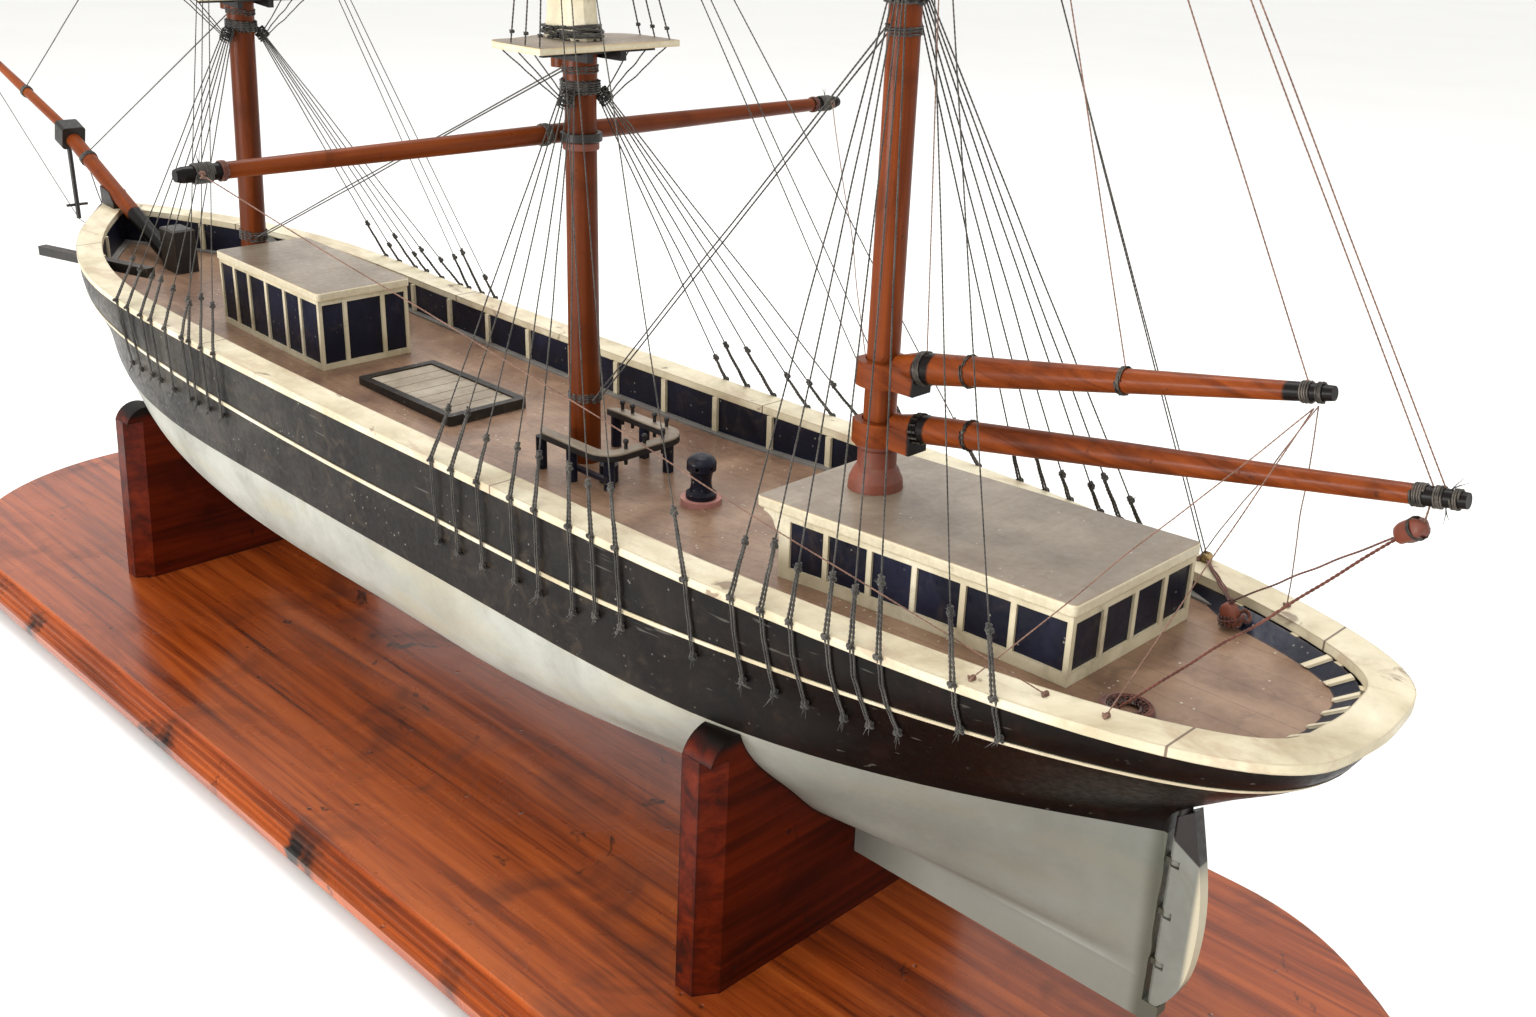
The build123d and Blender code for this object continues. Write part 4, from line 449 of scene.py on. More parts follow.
BOARD_WEAR = (0.25, (0.4, 0.14, 0.04))
BOARD_WOOD = varnished("board_mahogany", *MAHOGANY, rough=0.22, coat=0.22, wear=BOARD_WEAR, black=board_black)
CRADLE_AFT_WOOD = cradle_wood("cradle_aft_mahogany", 0.1165)
CRADLE_FORE_WOOD = cradle_wood("cradle_fore_mahogany", 0.1105)
TOPSIDES = painted("topside_black", BLACK, rough=0.36, wear=(0.5, (0.16, 0.1, 0.06)), dirt=0.35, specks=0.3,
                   extra=topside_wear_shade_and_sheen, gloss=0.1)
BOTTOM = painted("bottom_grey", GREY, rough=0.55, dirt=0.22, dirt_colour=(0.17, 0.15, 0.1),
                 extra=bottom_stain_and_shade)
RUDDER_PAINT = painted("rudder_grey", SHADED_RUDDER_GREY, stroke="z", dirt=0.25, extra=rudder_black)
CREAM_PAINT = painted("cream_paint", CREAM, rough=0.45, dirt=0.3, wear=(0.5, (0.2, 0.12, 0.07)))
CAP_PAINT = painted("cap_rail_cream", CREAM, rough=0.42, dirt=0.18, wear=(0.7, (0.16, 0.09, 0.05)),
                    extra=cap_wear)
POST_PAINT = painted("post_cream", CREAM, stroke="z", dirt=0.35, wear=(0.4, (0.2, 0.12, 0.06)))
DECK_WOOD = painted("deck_varnish", DECK, rough=0.42, dirt=0.45, dirt_colour=(0.06, 0.03, 0.02), specks=0.75,
                    extra=deck_marks, coat=0.3)
HATCH_PAINT = painted("hatch_paint", HATCH, stroke="y", dirt=0.4, specks=0.5, coat=0.1)
NAVY_PAINT = painted("navy_paint", NAVY, rough=0.36, dirt=0.25, wear=(0.5, (0.12, 0.08, 0.05)), specks=0.3,
                     coat=0.02, gloss=0.18)
BLACK_PAINT = painted("black_trim_paint", BLACK, rough=0.4, dirt=0.25, wear=(0.5, (0.12, 0.07, 0.04)),
                      specks=0.3)
GREY_TRIM = painted("grey_trim_paint", TRIM_GREY, rough=0.6)
ROOF_PAINT = painted("roof_paint", ROOF, rough=0.4, stroke="y", dirt=0.35, specks=0.5, extra=roof_grain,
                     coat=0.25)
TOP_PAINT = painted("mast_top_paint", ROOF, stroke="y", dirt=0.35, extra=top_edge)
FIFE_PAINT = painted("fife_rail_paint", ROOF, rough=0.45, dirt=0.4, extra=fife_edge)
GUDGEON_PAINT = painted("gudgeon_grey", SHADED_RUDDER_GREY, rough=0.55, extra=gudgeon_shade_and_wear)
ROSE_PAINT = painted("rose_paint", ROSE, rough=0.55, dirt=0.4)
RED_PAINT = painted("red_brown_paint", RED_BROWN, dirt=0.3)
BRASS = metal("old_brass", (0.42, 0.3, 0.13), (0.11, 0.08, 0.045))
PALE_WOOD = varnished("pale_wood", *PALE, rough=0.6, coat=0.0)
DARK_THREAD = thread("dark_thread", (0.012, 0.011, 0.01), (0.085, 0.075, 0.062))
BROWN_THREAD = thread("brown_thread", (0.09, 0.04, 0.025), (0.26, 0.14, 0.095))
RED_THREAD = thread("red_brown_thread", (0.05, 0.014, 0.008), (0.16, 0.05, 0.03))
WIRE = metal("dark_wire", (0.1, 0.085, 0.07), (0.02, 0.017, 0.015), 0.4, 0.6)


def spar_finish(name, along, turn=(0, 0, 0), ends=(), cream_above=None):
    """Varnished spar wood, with painted shade darkening the two forward masts, black at given places, cream
    above a height.
    """
    g = Graph(name)
    run = g.stretched(*GRAIN[along], turn=turn)
    grain = g.noise(run, 1.0, 9.0, 0.62, 0.6)
    blotch = g.noise(g.place, 34.0, 5.0, 0.6, 0.8)
    colour = g.ramp(grain, (0.3, SPAR[2]), (0.47, SPAR[1]), (0.66, SPAR[0]))
    colour = g.tint(colour, g.step(blotch, 0.48, 0.72), 0.6, SPAR[2])
    # Painted shade: masts forward of the mizzen are darker.
    if along == "z":
        colour = g.tint(colour, g.step(g.x, -0.16, -0.1), 0.5, SPAR[2])
    scuff = g.patches(0.62, 0.7, 190.0, 5.0, 0.7)
    colour = g.tint(colour, scuff, 0.5, (0.02, 0.008, 0.005))
    wobble = g.times(g.noise(g.place, 200.0), 0.002)
    for axis, sign, low, high in ends:
        reach = g.calc("ADD", g.times(getattr(g, axis), sign), wobble)
        band = g.times(g.step(reach, low, low + 0.0012), g.step(reach, high + 0.0012, high))
        colour = g.mix(band, colour, BLACK_PAINT_AND_SHADOW)
    if cream_above:
        reach = g.calc("ADD", g.z, wobble)
        cream = g.mix(blotch, CREAM[0], CREAM[2])
        colour = g.mix(g.step(reach, cream_above, cream_above + 0.001), colour, cream)
    g.bump((grain, 0.00007), (scuff, 0.00008))
    roughness = g.ramp(blotch, (0.3, 0.24), (0.7, 0.46))
    return g.finish(colour, roughness, Coat_Weight=0.02, Coat_Roughness=0.1, Specular_IOR_Level=0.1)


MAST_WOOD = spar_finish("mast_varnish", "z")
LOWER_MAST_WOOD = spar_finish("lower_mast_varnish", "z", cream_above=0.3095)
# A band is an axis, its direction, and where the black starts and ends: ON is past every spar's end.
ON = 9.0
JAW_BAND = ("x", 1, -0.2255, -0.2195)
YARD_WOOD = spar_finish("yard_varnish", "y", ends=[("y", 1, 0.131, ON), ("y", -1, 0.131, ON)])
UPPER_YARD_WOOD = spar_finish("upper_yard_varnish", "y")
BOOM_WOOD = spar_finish("boom_varnish", "x", turn=(0, 9, 0), ends=[("x", -1, 0.372, ON), JAW_BAND])
GAFF_WOOD = spar_finish("gaff_varnish", "x", turn=(0, 11, 0), ends=[("x", -1, 0.336, ON), JAW_BAND])
BOWSPRIT_WOOD = spar_finish("bowsprit_varnish", "x", turn=(0, 23, 0), ends=[("x", -1, -0.331, ON)])
JIB_WOOD = spar_finish("jibboom_varnish", "x", turn=(0, 16, 0), ends=[("x", 1, 0.545, ON)])

FINISHES = (
    (BOARD_WOOD, "baseboard"),
    (PALE_WOOD, "board_battens hull_dowels"),
    (CRADLE_AFT_WOOD, "cradle_aft"),
    (CRADLE_FORE_WOOD, "cradle_fore"),
    (BRASS, "stand_screws"),
    (TOPSIDES, "hull_upper"),
    (BOTTOM, "hull_lower keel"),
    (CREAM_PAINT, "hull_stripe"),
    (DECK_WOOD, "deck"),
    (NAVY_PAINT, "bulwark_lining aft_cabin_walls fore_house_walls capstan fife_rail_legs"),
    (POST_PAINT, "bulwark_stanchions aft_cabin_frames fore_house_frames"),
    (GREY_TRIM, "waterway"),
    (CAP_PAINT, "cap_rail"),
    (RUDDER_PAINT, "rudder"),
    (GUDGEON_PAINT, "rudder_gudgeons"),
    (BLACK_PAINT, "catheads hatch_coaming bowsprit_cap bowsprit_bitts dolphin_striker "
     "caps_and_crosstrees yard_parrel"),
    (ROOF_PAINT, "aft_cabin_roof fore_house_roof"),
    (HATCH_PAINT, "hatch_cover"),
    (ROSE_PAINT, "capstan_base"),
    (BOWSPRIT_WOOD, "bowsprit"),
    (JIB_WOOD, "jibboom"),
    (FIFE_PAINT, "fife_rail"),
    (LOWER_MAST_WOOD, "fore_lower_mast main_lower_mast"),
    (MAST_WOOD, "mizzen_mast topmasts topgallant_masts"),
    (TOP_PAINT, "mast_tops"),
    (RED_PAINT, "mast_bands stern_tackle"),
    (BOOM_WOOD, "boom"),
    (GAFF_WOOD, "gaff"),
    (YARD_WOOD, "main_yard"),
    (UPPER_YARD_WOOD, "upper_yards"),
    (BROWN_THREAD, "boom_tackle gaff_halliards boom_sheet gaff_vangs yard_braces"),
    (DARK_THREAD, "fore_shrouds main_shrouds mizzen_shrouds backstays_and_topmast_shrouds stays"),
)
for finish, names in FINISHES:
    for name in names.split():
        NODES[name].data.materials.clear()
        NODES[name].data.materials.append(finish)


# ---------------------------------------------------------------- ropes and small work
def ring_faces(rings, count):
    """The faces between rings of points, each of the same count."""
    faces = []
    for i in range(rings - 1):
        for j in range(count):
            k = (j + 1) % count
            faces.append((i * count + j, i * count + k, (i + 1) * count + k, (i + 1) * count + j))
    return faces


class Batch:
    """Swept strands and lumps gathered into one mesh."""

    def __init__(self):
        self.vertices = []
        self.faces = []
        self.count = 0

    def put(self, vertices, faces):
        self.vertices.append(np.asarray(vertices, float))
        self.faces.extend([[i + self.count for i in face] for face in faces])
        self.count += len(vertices)

    def shell(self, rings):
        """Rings of points, in metres, joined into a closed shell with flat ends."""
        count = len(rings[0])
        last = (len(rings) - 1) * count
        faces = ring_faces(len(rings), count)
        faces.append(tuple(reversed(range(count))))
        faces.append(tuple(range(last, last + count)))
        self.put([point for ring in rings for point in ring], faces)

    def piece(self, name, material, slot, body=SHIP, replaced=(), blended=None, smooth=True):
        mesh = bpy.data.meshes.new(name)
        mesh.from_pydata(np.concatenate(self.vertices).tolist(), [], self.faces)
        mesh.update()
        mesh.materials.append(material)
        if smooth:
            mesh.polygons.foreach_set("use_smooth", [True] * len(mesh.polygons))
        obj = place_object(name, mesh)
        if blended:
            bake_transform(obj)
        else:
            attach(obj, body)
        if replaced:
            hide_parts(*replaced)


def unit(v):
    return v / max(MIN_STEP, float(np.linalg.norm(v)))


def resample(points, pace):
    """Points along a broken line, about a pace apart."""
    points = np.asarray(points, float)
    out = [points[0]]
    for a, b in zip(points, points[1:]):
        parts = max(1, int(round(np.linalg.norm(b - a) / pace)))
        out.extend(a + (b - a) * (i / parts) for i in range(1, parts + 1))
    return np.array(out)


ROPE_PITCH = 0.0028
ROPE_PACE = 0.00047
ANY_ANGLE = 6.28
MIN_STEP = 1e-12


def sweep(batch, path, radius, pitch=ROPE_PITCH, sides=8, depth=0.26, taper=None):
    """A strand along a path, in metres, whose two-lobed section turns once in each pitch."""
    path = np.asarray(path, float)
    steps = np.linalg.norm(np.diff(path, axis=0), axis=1)
    run = np.concatenate([[0.0], np.cumsum(steps)])
    ahead = np.gradient(path, axis=0)
    ahead /= np.maximum(MIN_STEP, np.linalg.norm(ahead, axis=1))[:, None]
    side = unit(np.cross(ahead[0], (0.0, 0.0, 1.0) if abs(ahead[0][2]) < 0.9 else (1.0, 0.0, 0.0)))
    sides_at = np.arange(sides) * 2 * math.pi / sides
    rings = []
    for i, (centre, forward) in enumerate(zip(path, ahead)):
        side = unit(side - forward * float(side @ forward))
        up = np.cross(forward, side)
        turn = 2 * math.pi * run[i] / pitch
        r = radius * (1 - depth + depth * np.abs(np.cos(sides_at)))
        if taper is not None:
            r = r * taper(run[i] / run[-1])
        angle = sides_at + turn
        rings.append(centre + np.outer(np.cos(angle) * r, side) + np.outer(np.sin(angle) * r, up))
    count = len(path)
    vertices = np.concatenate(rings + [path[:1], path[-1:]])
    faces = ring_faces(count, sides)
    first, last = count * sides, count * sides + 1
    for j in range(sides):
        k = (j + 1) % sides
        faces.append((first, k, j))
        faces.append((last, (count - 1) * sides + j, (count - 1) * sides + k))
    batch.put(vertices, faces)


def line(batch, points, radius, wobble=0.0, seed=0):
    """A rope along straight runs, given in millimetres, with a slight hand-made waver."""
    path = resample(np.asarray(points, float) * MM, ROPE_PACE)
    if wobble:
        chance = random.Random(seed)
        t = np.linspace(0, 1, len(path))
        phases = [chance.uniform(0, ANY_ANGLE) for _ in range(6)]
        fade = np.sin(math.pi * t)
        for axis in range(3):
            path[:, axis] += wobble * MM * fade * (
                np.sin(phases[axis] + 9 * t) * 0.7 + np.sin(phases[axis + 3] + 23 * t) * 0.3
            )
    sweep(batch, path, radius * MM)


def across_of(direction):
    """Two unit vectors square to a direction and to each other."""
    d = unit(np.asarray(direction, float))
    a = unit(np.cross(d, (0.0, 0.0, 1.0) if abs(d[2]) < 0.9 else (1.0, 0.0, 0.0)))
    return d, a, np.cross(d, a)


def winding(batch, centre, direction, radius, length, turns, strand, seed=0, uneven=0.12):
    """Turns of thread or wire wound round something, in millimetres."""
    chance = random.Random(seed)
    d, a, b = across_of(direction)
    count = int(turns * 14)
    points = []
    phase = chance.uniform(0, ANY_ANGLE)
    for i in range(count + 1):
        t = i / count
        angle = phase + 2 * math.pi * turns * t
        r = radius + strand * uneven * math.sin(angle * 0.37 + phase)
        along = (t - 0.5) * length + strand * uneven * math.sin(angle * 0.61)
        axis = np.asarray(centre, float) + d * along
        points.append(axis + a * r * math.cos(angle) + b * r * math.sin(angle))
    sweep(batch, np.array(points) * MM, strand * MM, pitch=strand * 4 * MM, sides=6, depth=0.15)


def knot(batch, centre, direction, size, strand, seed=0):
    """A small overhand knot: a trefoil drawn tight, in millimetres."""
    chance = random.Random(seed)
    d, a, b = across_of(direction)
    phase = chance.uniform(0, ANY_ANGLE)
    squeeze = chance.uniform(0.75, 1.0)
    points = []
    for i in range(49):
        t = phase + 2 * math.pi * i / 48
        u = (math.sin(t) + 2 * math.sin(2 * t)) / 3
        v = (math.cos(t) - 2 * math.cos(2 * t)) / 3
        w = -math.sin(3 * t) * 0.45
        points.append(np.asarray(centre, float) + (a * u + b * v * squeeze + d * w) * size)
    sweep(batch, np.array(points) * MM, strand * MM, pitch=strand * 4 * MM, sides=7, depth=0.12)


def tuft(batch, centre, direction, length, strand, hairs, seed):
    """Cut ends that splay out of a knot."""
    chance = random.Random(seed)
    d, a, b = across_of(direction)
    for _ in range(hairs):
        lean = a * chance.uniform(-0.7, 0.7) + b * chance.uniform(-0.7, 0.7)
        reach = length * chance.uniform(0.6, 1.15)
        curl = a * chance.uniform(-0.5, 0.5) + b * chance.uniform(-0.5, 0.5)
        points = []
        for i in range(9):
            t = i / 8
            straight = np.asarray(centre, float) + d * reach * t + lean * reach * t * 0.6
            points.append(straight + curl * reach * t * t * 0.5)
        sweep(batch, np.array(points) * MM, strand * MM, pitch=0.0015, sides=6, depth=0.2,
              taper=lambda t: 1.0 - 0.75 * t)


def surface(node):
    mesh = NODES[node].data
    return BVHTree.FromPolygons([v.co for v in mesh.vertices], [p.vertices[:] for p in mesh.polygons])


HULL_SKIN = surface("hull_upper")
CAP_SKIN = surface("cap_rail")


def hull_side(x, z, side):
    """Half breadth of the hull's side at x and z, in millimetres, taken beside the pin's hole."""
    found = []
    z = min(z, 165.0)
    for shift in (-1.4, 1.4):
        hit = HULL_SKIN.ray_cast(Vector(((x + shift) * MM, side * 0.2, z * MM)), Vector((0, -side, 0)))
        found.append(abs(hit[0].y) / MM)
    return sum(found) / 2


def cap_edge(x, side):
    """Half breadth of the cap rail's outer edge and its top there, in millimetres."""
    low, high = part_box("cap_rail")
    best = 0.0
    top = 0.0
    for i in range(40):
        z = low.z + (high.z - low.z) * (i + 0.5) / 40
        hit = CAP_SKIN.ray_cast(Vector((x * MM, side * 0.2, z)), Vector((0, -side, 0)))
        if hit[0] is not None and abs(hit[0].y) / MM > 20:
            if abs(hit[0].y) / MM > best - 1.5:
                best = max(best, abs(hit[0].y) / MM)
                top = max(top, hit[0].z / MM)
    return best, top


FORE_RAKE = math.radians(4.5)
MASTS = {"fore": 200.5, "main": -57.6, "mizzen": -205.0}
MAST_BASE = 155.0
SHROUD_FEET = {
    "fore": [(195.7, 141), (183.8, 141), (169.6, 142), (159.7, 142), (145.9, 141), (129.7, 141)],
    "main": [(-60.6, 136), (-73.1, 136), (-88.3, 136), (-107.4, 137), (-120.7, 137), (-138.7, 137)],
    "mizzen": [(-211.8, 139), (-223.4, 139), (-234.0, 139), (-247.0, 139), (-255.5, 140), (-264.6, 141)],
}
BACKSTAY_FEET = {
    "fore": [(123.0, 141), (112.0, 141), (101.0, 141)],
    "main": [(-150.0, 140), (-162.0, 140), (-193.0, 141)],
    "mizzen": [(-287.6, 153), (-299.5, 155)],
}
COLLARS = {"fore": (288.5, 5.7), "main": (288.5, 5.7), "mizzen": (330.0, 4.9)}
BACKSTAY_RINGS = {"fore": (408.0, 3.3, 10.2), "main": (418.0, 3.3, 10.2), "mizzen": (440.0, 3.2, 0.0)}


def on_mast(name, height, ahead=0.0, across=0.0):
    """A point by its height along a mast and its place ahead of and beside the middle."""
    rake = FORE_RAKE if name == "fore" else 0.0
    along = height - MAST_BASE
    x = MASTS[name] - math.sin(rake) * along + math.cos(rake) * ahead
    return (x, across, MAST_BASE + math.cos(rake) * along + math.sin(rake) * ahead)


def mast_direction(name):
    rake = FORE_RAKE if name == "fore" else 0.0
    return (-math.sin(rake), 0.0, math.cos(rake))


def between(a, b, t):
    return tuple(p + (q - p) * t for p, q in zip(a, b))


def rigged_shroud(batch, head, x, z, side, seed, thick=0.31):
    """One shroud: a thread, a knot, doubled thread to the rail, and a lanyard down the hull to its knot."""
    chance = random.Random(seed)
    edge, top = cap_edge(x, side)
    rail = (x, side * (edge + 0.55), top + 0.1)
    foot = (x, side * (hull_side(x, z, side) + 1.2), z)
    length = math.dist(head, rail)
    rise = chance.uniform(15, 22) if side > 0 else chance.uniform(10, 24)
    tie = between(rail, head, rise / length)
    down = np.array(rail) - np.array(head)
    line(batch, [head, tie], thick, wobble=0.18, seed=seed)
    winding(batch, tie, down, 0.62, 2.6, 3.2, 0.42, seed)
    knot(batch, between(tie, rail, 0.04), down, 1.05, 0.42, seed + 1)
    swell = []
    for share in (0.14, 0.36, 0.64):
        height = rail[2] + (foot[2] - rail[2]) * share
        straight = abs(rail[1]) + (abs(foot[1]) - abs(rail[1])) * share
        swell.append((side * max(straight, hull_side(x, height, side) + 0.75), height))
    for shift in (-0.5, 0.5):
        upper = (tie[0] + shift * 0.5, tie[1], tie[2] - 0.6)
        lower = (rail[0] + shift * 1.3, rail[1], rail[2])
        line(batch, [upper, lower], 0.47, wobble=0.1, seed=seed + 2)
        route = [(rail[0] + shift * 1.1, y, height) for y, height in swell]
        route = [lower, *route, (foot[0] + shift * 0.9, foot[1], foot[2])]
        line(batch, route, 0.36, wobble=0.12, seed=seed + 3)
    knot(batch, (rail[0], rail[1] + side * 0.15, rail[2] - 0.4), down, 1.25, 0.45, seed + 4)
    knot(batch, foot, (0, side, 0), 1.3, 0.48, seed + 5)
    tuft(batch, foot, (chance.uniform(-0.4, 0.4), side * 0.35, -1), 4.2, 0.3, 3, seed + 6)
    tuft(batch, tie, (chance.uniform(-1, 1), side * 0.6, 0.3), 2.0, 0.22, 1, seed + 7)


def lower_rigging(name, order):
    """The collar and the shrouds of one lower mast."""
    batch = Batch()
    bottom, inner = COLLARS[name]
    winding(batch, on_mast(name, bottom + 3.0), mast_direction(name), inner + 0.55, 5.0, 7, 0.45, order)
    winding(batch, on_mast(name, bottom + 3.0), mast_direction(name), inner + 1.3, 4.0, 5, 0.45, order + 50)
    for i, (x, z) in enumerate(SHROUD_FEET[name]):
        for side in (-1, 1):
            centre = on_mast(name, bottom + 3.0, 1.5 - 1.2 * i)
            head = (centre[0], side * (inner + 0.6), centre[2] - 0.3 * i + 0.6)
            rigged_shroud(batch, head, x, z, side, order * 1000 + i * 20 + side)
    batch.piece(name + "_shroud_ropes", DARK_THREAD, "black_thread", replaced=[name + "_shrouds"])


for order, name in enumerate(SHROUD_FEET):
    lower_rigging(name, order + 1)

BEAD = (-292.0, -58.5, 170.6)
TOP_Z = 305.0
TOP_HEIGHT = 307.4
TOP_HALF_WIDTH = {"fore": 25.8, "main": 28.8}
CROSSTREE_HEIGHT = {"fore": 425.0, "main": 436.0}


def masthead_lashings(batch, name):
    """The tangle of rope round a masthead's foot, the futtock lines, and the served bunches under the top."""
    up = mast_direction(name)
    seed = 8200 + len(name)
    chance = random.Random(seed)
    winding(batch, on_mast(name, TOP_HEIGHT + 0.9), up, 7.6, 1.6, 3, 0.5, seed, uneven=0.9)
    winding(batch, on_mast(name, TOP_HEIGHT + 2.6), up, 7.2, 2.2, 3, 0.45, seed + 1, uneven=1.2)
    phases = [chance.uniform(0, ANY_ANGLE) for _ in range(3)]
    points = []
    for i in range(313):
        angle = 2 * math.pi * i / 26
        reach = 1.5 * math.sin(angle * 0.43 + phases[0])
        rise = 2.4 + 1.9 * math.sin(angle * 0.61 + phases[1]) - 0.8 * math.cos(angle)
        ahead = 4.0 + (12.2 + reach) * math.cos(angle)
        points.append(on_mast(name, TOP_HEIGHT + rise, ahead, (7.4 + reach) * math.sin(angle)))
    sweep(batch, np.array(points) * MM, 0.5 * MM, pitch=0.002, sides=6)
    for side in (-1, 1):
        bunch = on_mast(name, 287.6, -2.6, side * 8.6)
        head = on_mast(name, 291.5, -1.0, side * 6.0)
        hang = np.array(bunch) - np.array(head)
        winding(batch, bunch, hang, 2.5, 5.0, 7, 0.45, seed + 4 + side, uneven=0.3)
        for i, ahead in enumerate((-13.0, -4.0, 5.0)):
            rim = on_mast(name, TOP_Z - 0.4, ahead, side * (TOP_HALF_WIDTH[name] + 0.6))
            neck = on_mast(name, 286.5, ahead * 0.25 - 2.0, side * 9.2)
            line(batch, [rim, neck], 0.3, wobble=0.2, seed=seed + 10 + i)


def upper_rigging():
    """Backstays, topmast shrouds and their rings, and the lashings at the mastheads."""
    batch = Batch()
    for order, (name, feet) in enumerate(BACKSTAY_FEET.items()):
        bottom, inner, ahead = BACKSTAY_RINGS[name]
        ring = on_mast(name, bottom + 2.0, ahead)
        winding(batch, ring, mast_direction(name), inner + 0.6, 3.4, 5, 0.42, order)
        for i, (x, z) in enumerate(feet):
            for side in (-1, 1):
                centre = on_mast(name, bottom + 2.0, ahead + 0.8 - 1.0 * i)
                head = (centre[0], side * (inner + 0.5), centre[2])
                seed = 7000 + order * 500 + i * 20 + side
                if name == "mizzen" and side < 0:
                    foot = (BEAD[0] + 1.5 * i, BEAD[1], BEAD[2] + 1.0)
                    line(batch, [head, foot], 0.26, wobble=0.18, seed=seed)
                    continue
                rigged_shroud(batch, head, x, z, side, seed, thick=0.26)
    for name in ("fore", "main"):
        cross = CROSSTREE_HEIGHT[name]
        winding(batch, on_mast(name, cross - 8.5, 10.2), mast_direction(name), 3.7, 2.4, 4, 0.35, 9)
        for i in range(3):
            for side in (-1, 1):
                foot = on_mast(name, TOP_HEIGHT, -15 + 8 * i, side * TOP_HALF_WIDTH[name])
                head = on_mast(name, cross - 8.5, 10.2 - 1.5 + 1.5 * i, side * 3.8)
                line(batch, [foot, head], 0.34, wobble=0.12, seed=8000 + i * 3 + side)
                knot(batch, between(foot, head, 0.03), (0, 0, 1), 0.8, 0.3, 8100 + i * 3 + side)
        masthead_lashings(batch, name)
    replaced = ["backstays_and_topmast_shrouds"]
    batch.piece("upper_rigging_ropes", DARK_THREAD, "black_thread", replaced=replaced)


upper_rigging()

CASING_SIDE = ((-5.3, 2.4), (-2.4, 5.4), (9.8, 5.4), (14.9, 2.2))
CASING_PLAN = [(x, -y) for x, y in CASING_SIDE] + list(reversed(CASING_SIDE))
CASING_MIDDLE = 4.8
CASING_LEVELS = ((307.25, 1.22), (314.0, 1.08), (322.0, 1.0), (337.8, 0.985))


def masthead_casings():
    """The cream, faceted casings that hold each lower masthead and the topmast's heel together."""
    batch = Batch()
    for name in ("fore", "main"):
        rings = []
        for height, swell in CASING_LEVELS:
            plan = [(CASING_MIDDLE + (x - CASING_MIDDLE) * swell, y * swell) for x, y in CASING_PLAN]
            rings.append([np.array(on_mast(name, height, ahead, across)) * MM for ahead, across in plan])
        batch.shell(rings)
    batch.piece("masthead_casings", POST_PAINT, "cream_paint", smooth=False)


masthead_casings()

BOWSPRIT_LINE = ((298.0, 0.0, 164.4), math.atan2(38.4, 87.6))
BOBSTAY_AT = 94.0
JIB_LINE = ((407.0, 0.0, 214.0), math.radians(16.5))
JIB_MIDDLE = 56.5
JIB_END = 151.2
DOUBLE_STAYS = (("main", 297.5, 6.9, "fore", 193.5, 1.6), ("mizzen", 323.5, 5.8, "main", 176.0, 1.5))
BOOM_LINE = ((-211.5, 0.0, 205.6), (-384.0, 0.0, 234.2))
GAFF_LINE = ((-211.5, 0.0, 224.6), (-348.0, 0.0, 251.2))


def on_spar(spar, along, above=0.0):
    """A point along the bowsprit or jibboom, above its middle."""
    (x, y, z), slope = spar
    run, rise = math.cos(slope), math.sin(slope)
    return (x + run * along - rise * above, y, z + rise * along + run * above)


def spar_direction(spar):
    return (math.cos(spar[1]), 0.0, math.sin(spar[1]))


def stay_ropes():
    """The stays that run forward and down, and the windings that hold them."""
    batch = Batch()
    rings = [
        ("main", 297.5, 0.0, 6.4, 2.6), ("fore", 193.0, 0.0, 6.3, 5.0), ("mizzen", 323.5, 0.0, 5.3, 2.6),
        ("main", 176.0, 0.0, 6.3, 3.4), ("fore", 297.5, 0.0, 6.4, 2.6), ("fore", 391.5, 10.2, 3.8, 2.4),
        ("fore", 521.2, 17.8, 2.3, 2.0), ("main", 401.5, 10.2, 3.8, 2.4), ("fore", 313.5, 0.0, 4.9, 2.6),
    ]
    for i, (name, height, ahead, radius, length) in enumerate(rings):
        turns = max(3, round(length / 0.8))
        winding(batch, on_mast(name, height, ahead), mast_direction(name), radius, length, turns, 0.42, i)
    wraps = ((BOWSPRIT_LINE, BOBSTAY_AT, 4.5), (JIB_LINE, JIB_MIDDLE, 3.15), (JIB_LINE, JIB_END, 2.0))
    for i, (spar, along, radius) in enumerate(wraps):
        winding(batch, on_spar(spar, along), spar_direction(spar), radius, 3.0, 4, 0.4, 30 + i)
    runs = [
        ([on_mast("fore", 297.5, 7.0), on_spar(BOWSPRIT_LINE, BOBSTAY_AT, 5.0)], 0.36),
        ([on_mast("fore", 391.5, 14.4), on_spar(JIB_LINE, JIB_MIDDLE, 3.6)], 0.34),
        ([on_mast("fore", 521.2, 20.4), on_spar(JIB_LINE, JIB_END, 2.3)], 0.32),
        ([on_mast("main", 401.5, 14.4), on_mast("fore", 313.5, -5.4)], 0.32),
        ([on_spar(JIB_LINE, JIB_END, -2.2), (410.0, 0.0, 163.6), (361.8, 0.0, 158.0)], 0.28),
        ([on_spar(BOWSPRIT_LINE, BOBSTAY_AT, -5.0), (358.9, 0.0, 152.0)], 0.36),
    ]
    for side in (-1, 1):
        for after, height, ahead, fore, foot, apart in DOUBLE_STAYS:
            ends = [on_mast(after, height, ahead, apart * side), on_mast(fore, foot, -6.9, apart * side)]
            runs.append((ends, 0.34))
    for i, (points, radius) in enumerate(runs):
        line(batch, points, radius, wobble=0.16, seed=9000 + i)
    batch.piece("stay_ropes", DARK_THREAD, "black_thread", replaced=["stays"])


stay_ropes()


BLOCK_RINGS = 12
BLOCK_SIDES = 18
BLOCK_END = 0.12


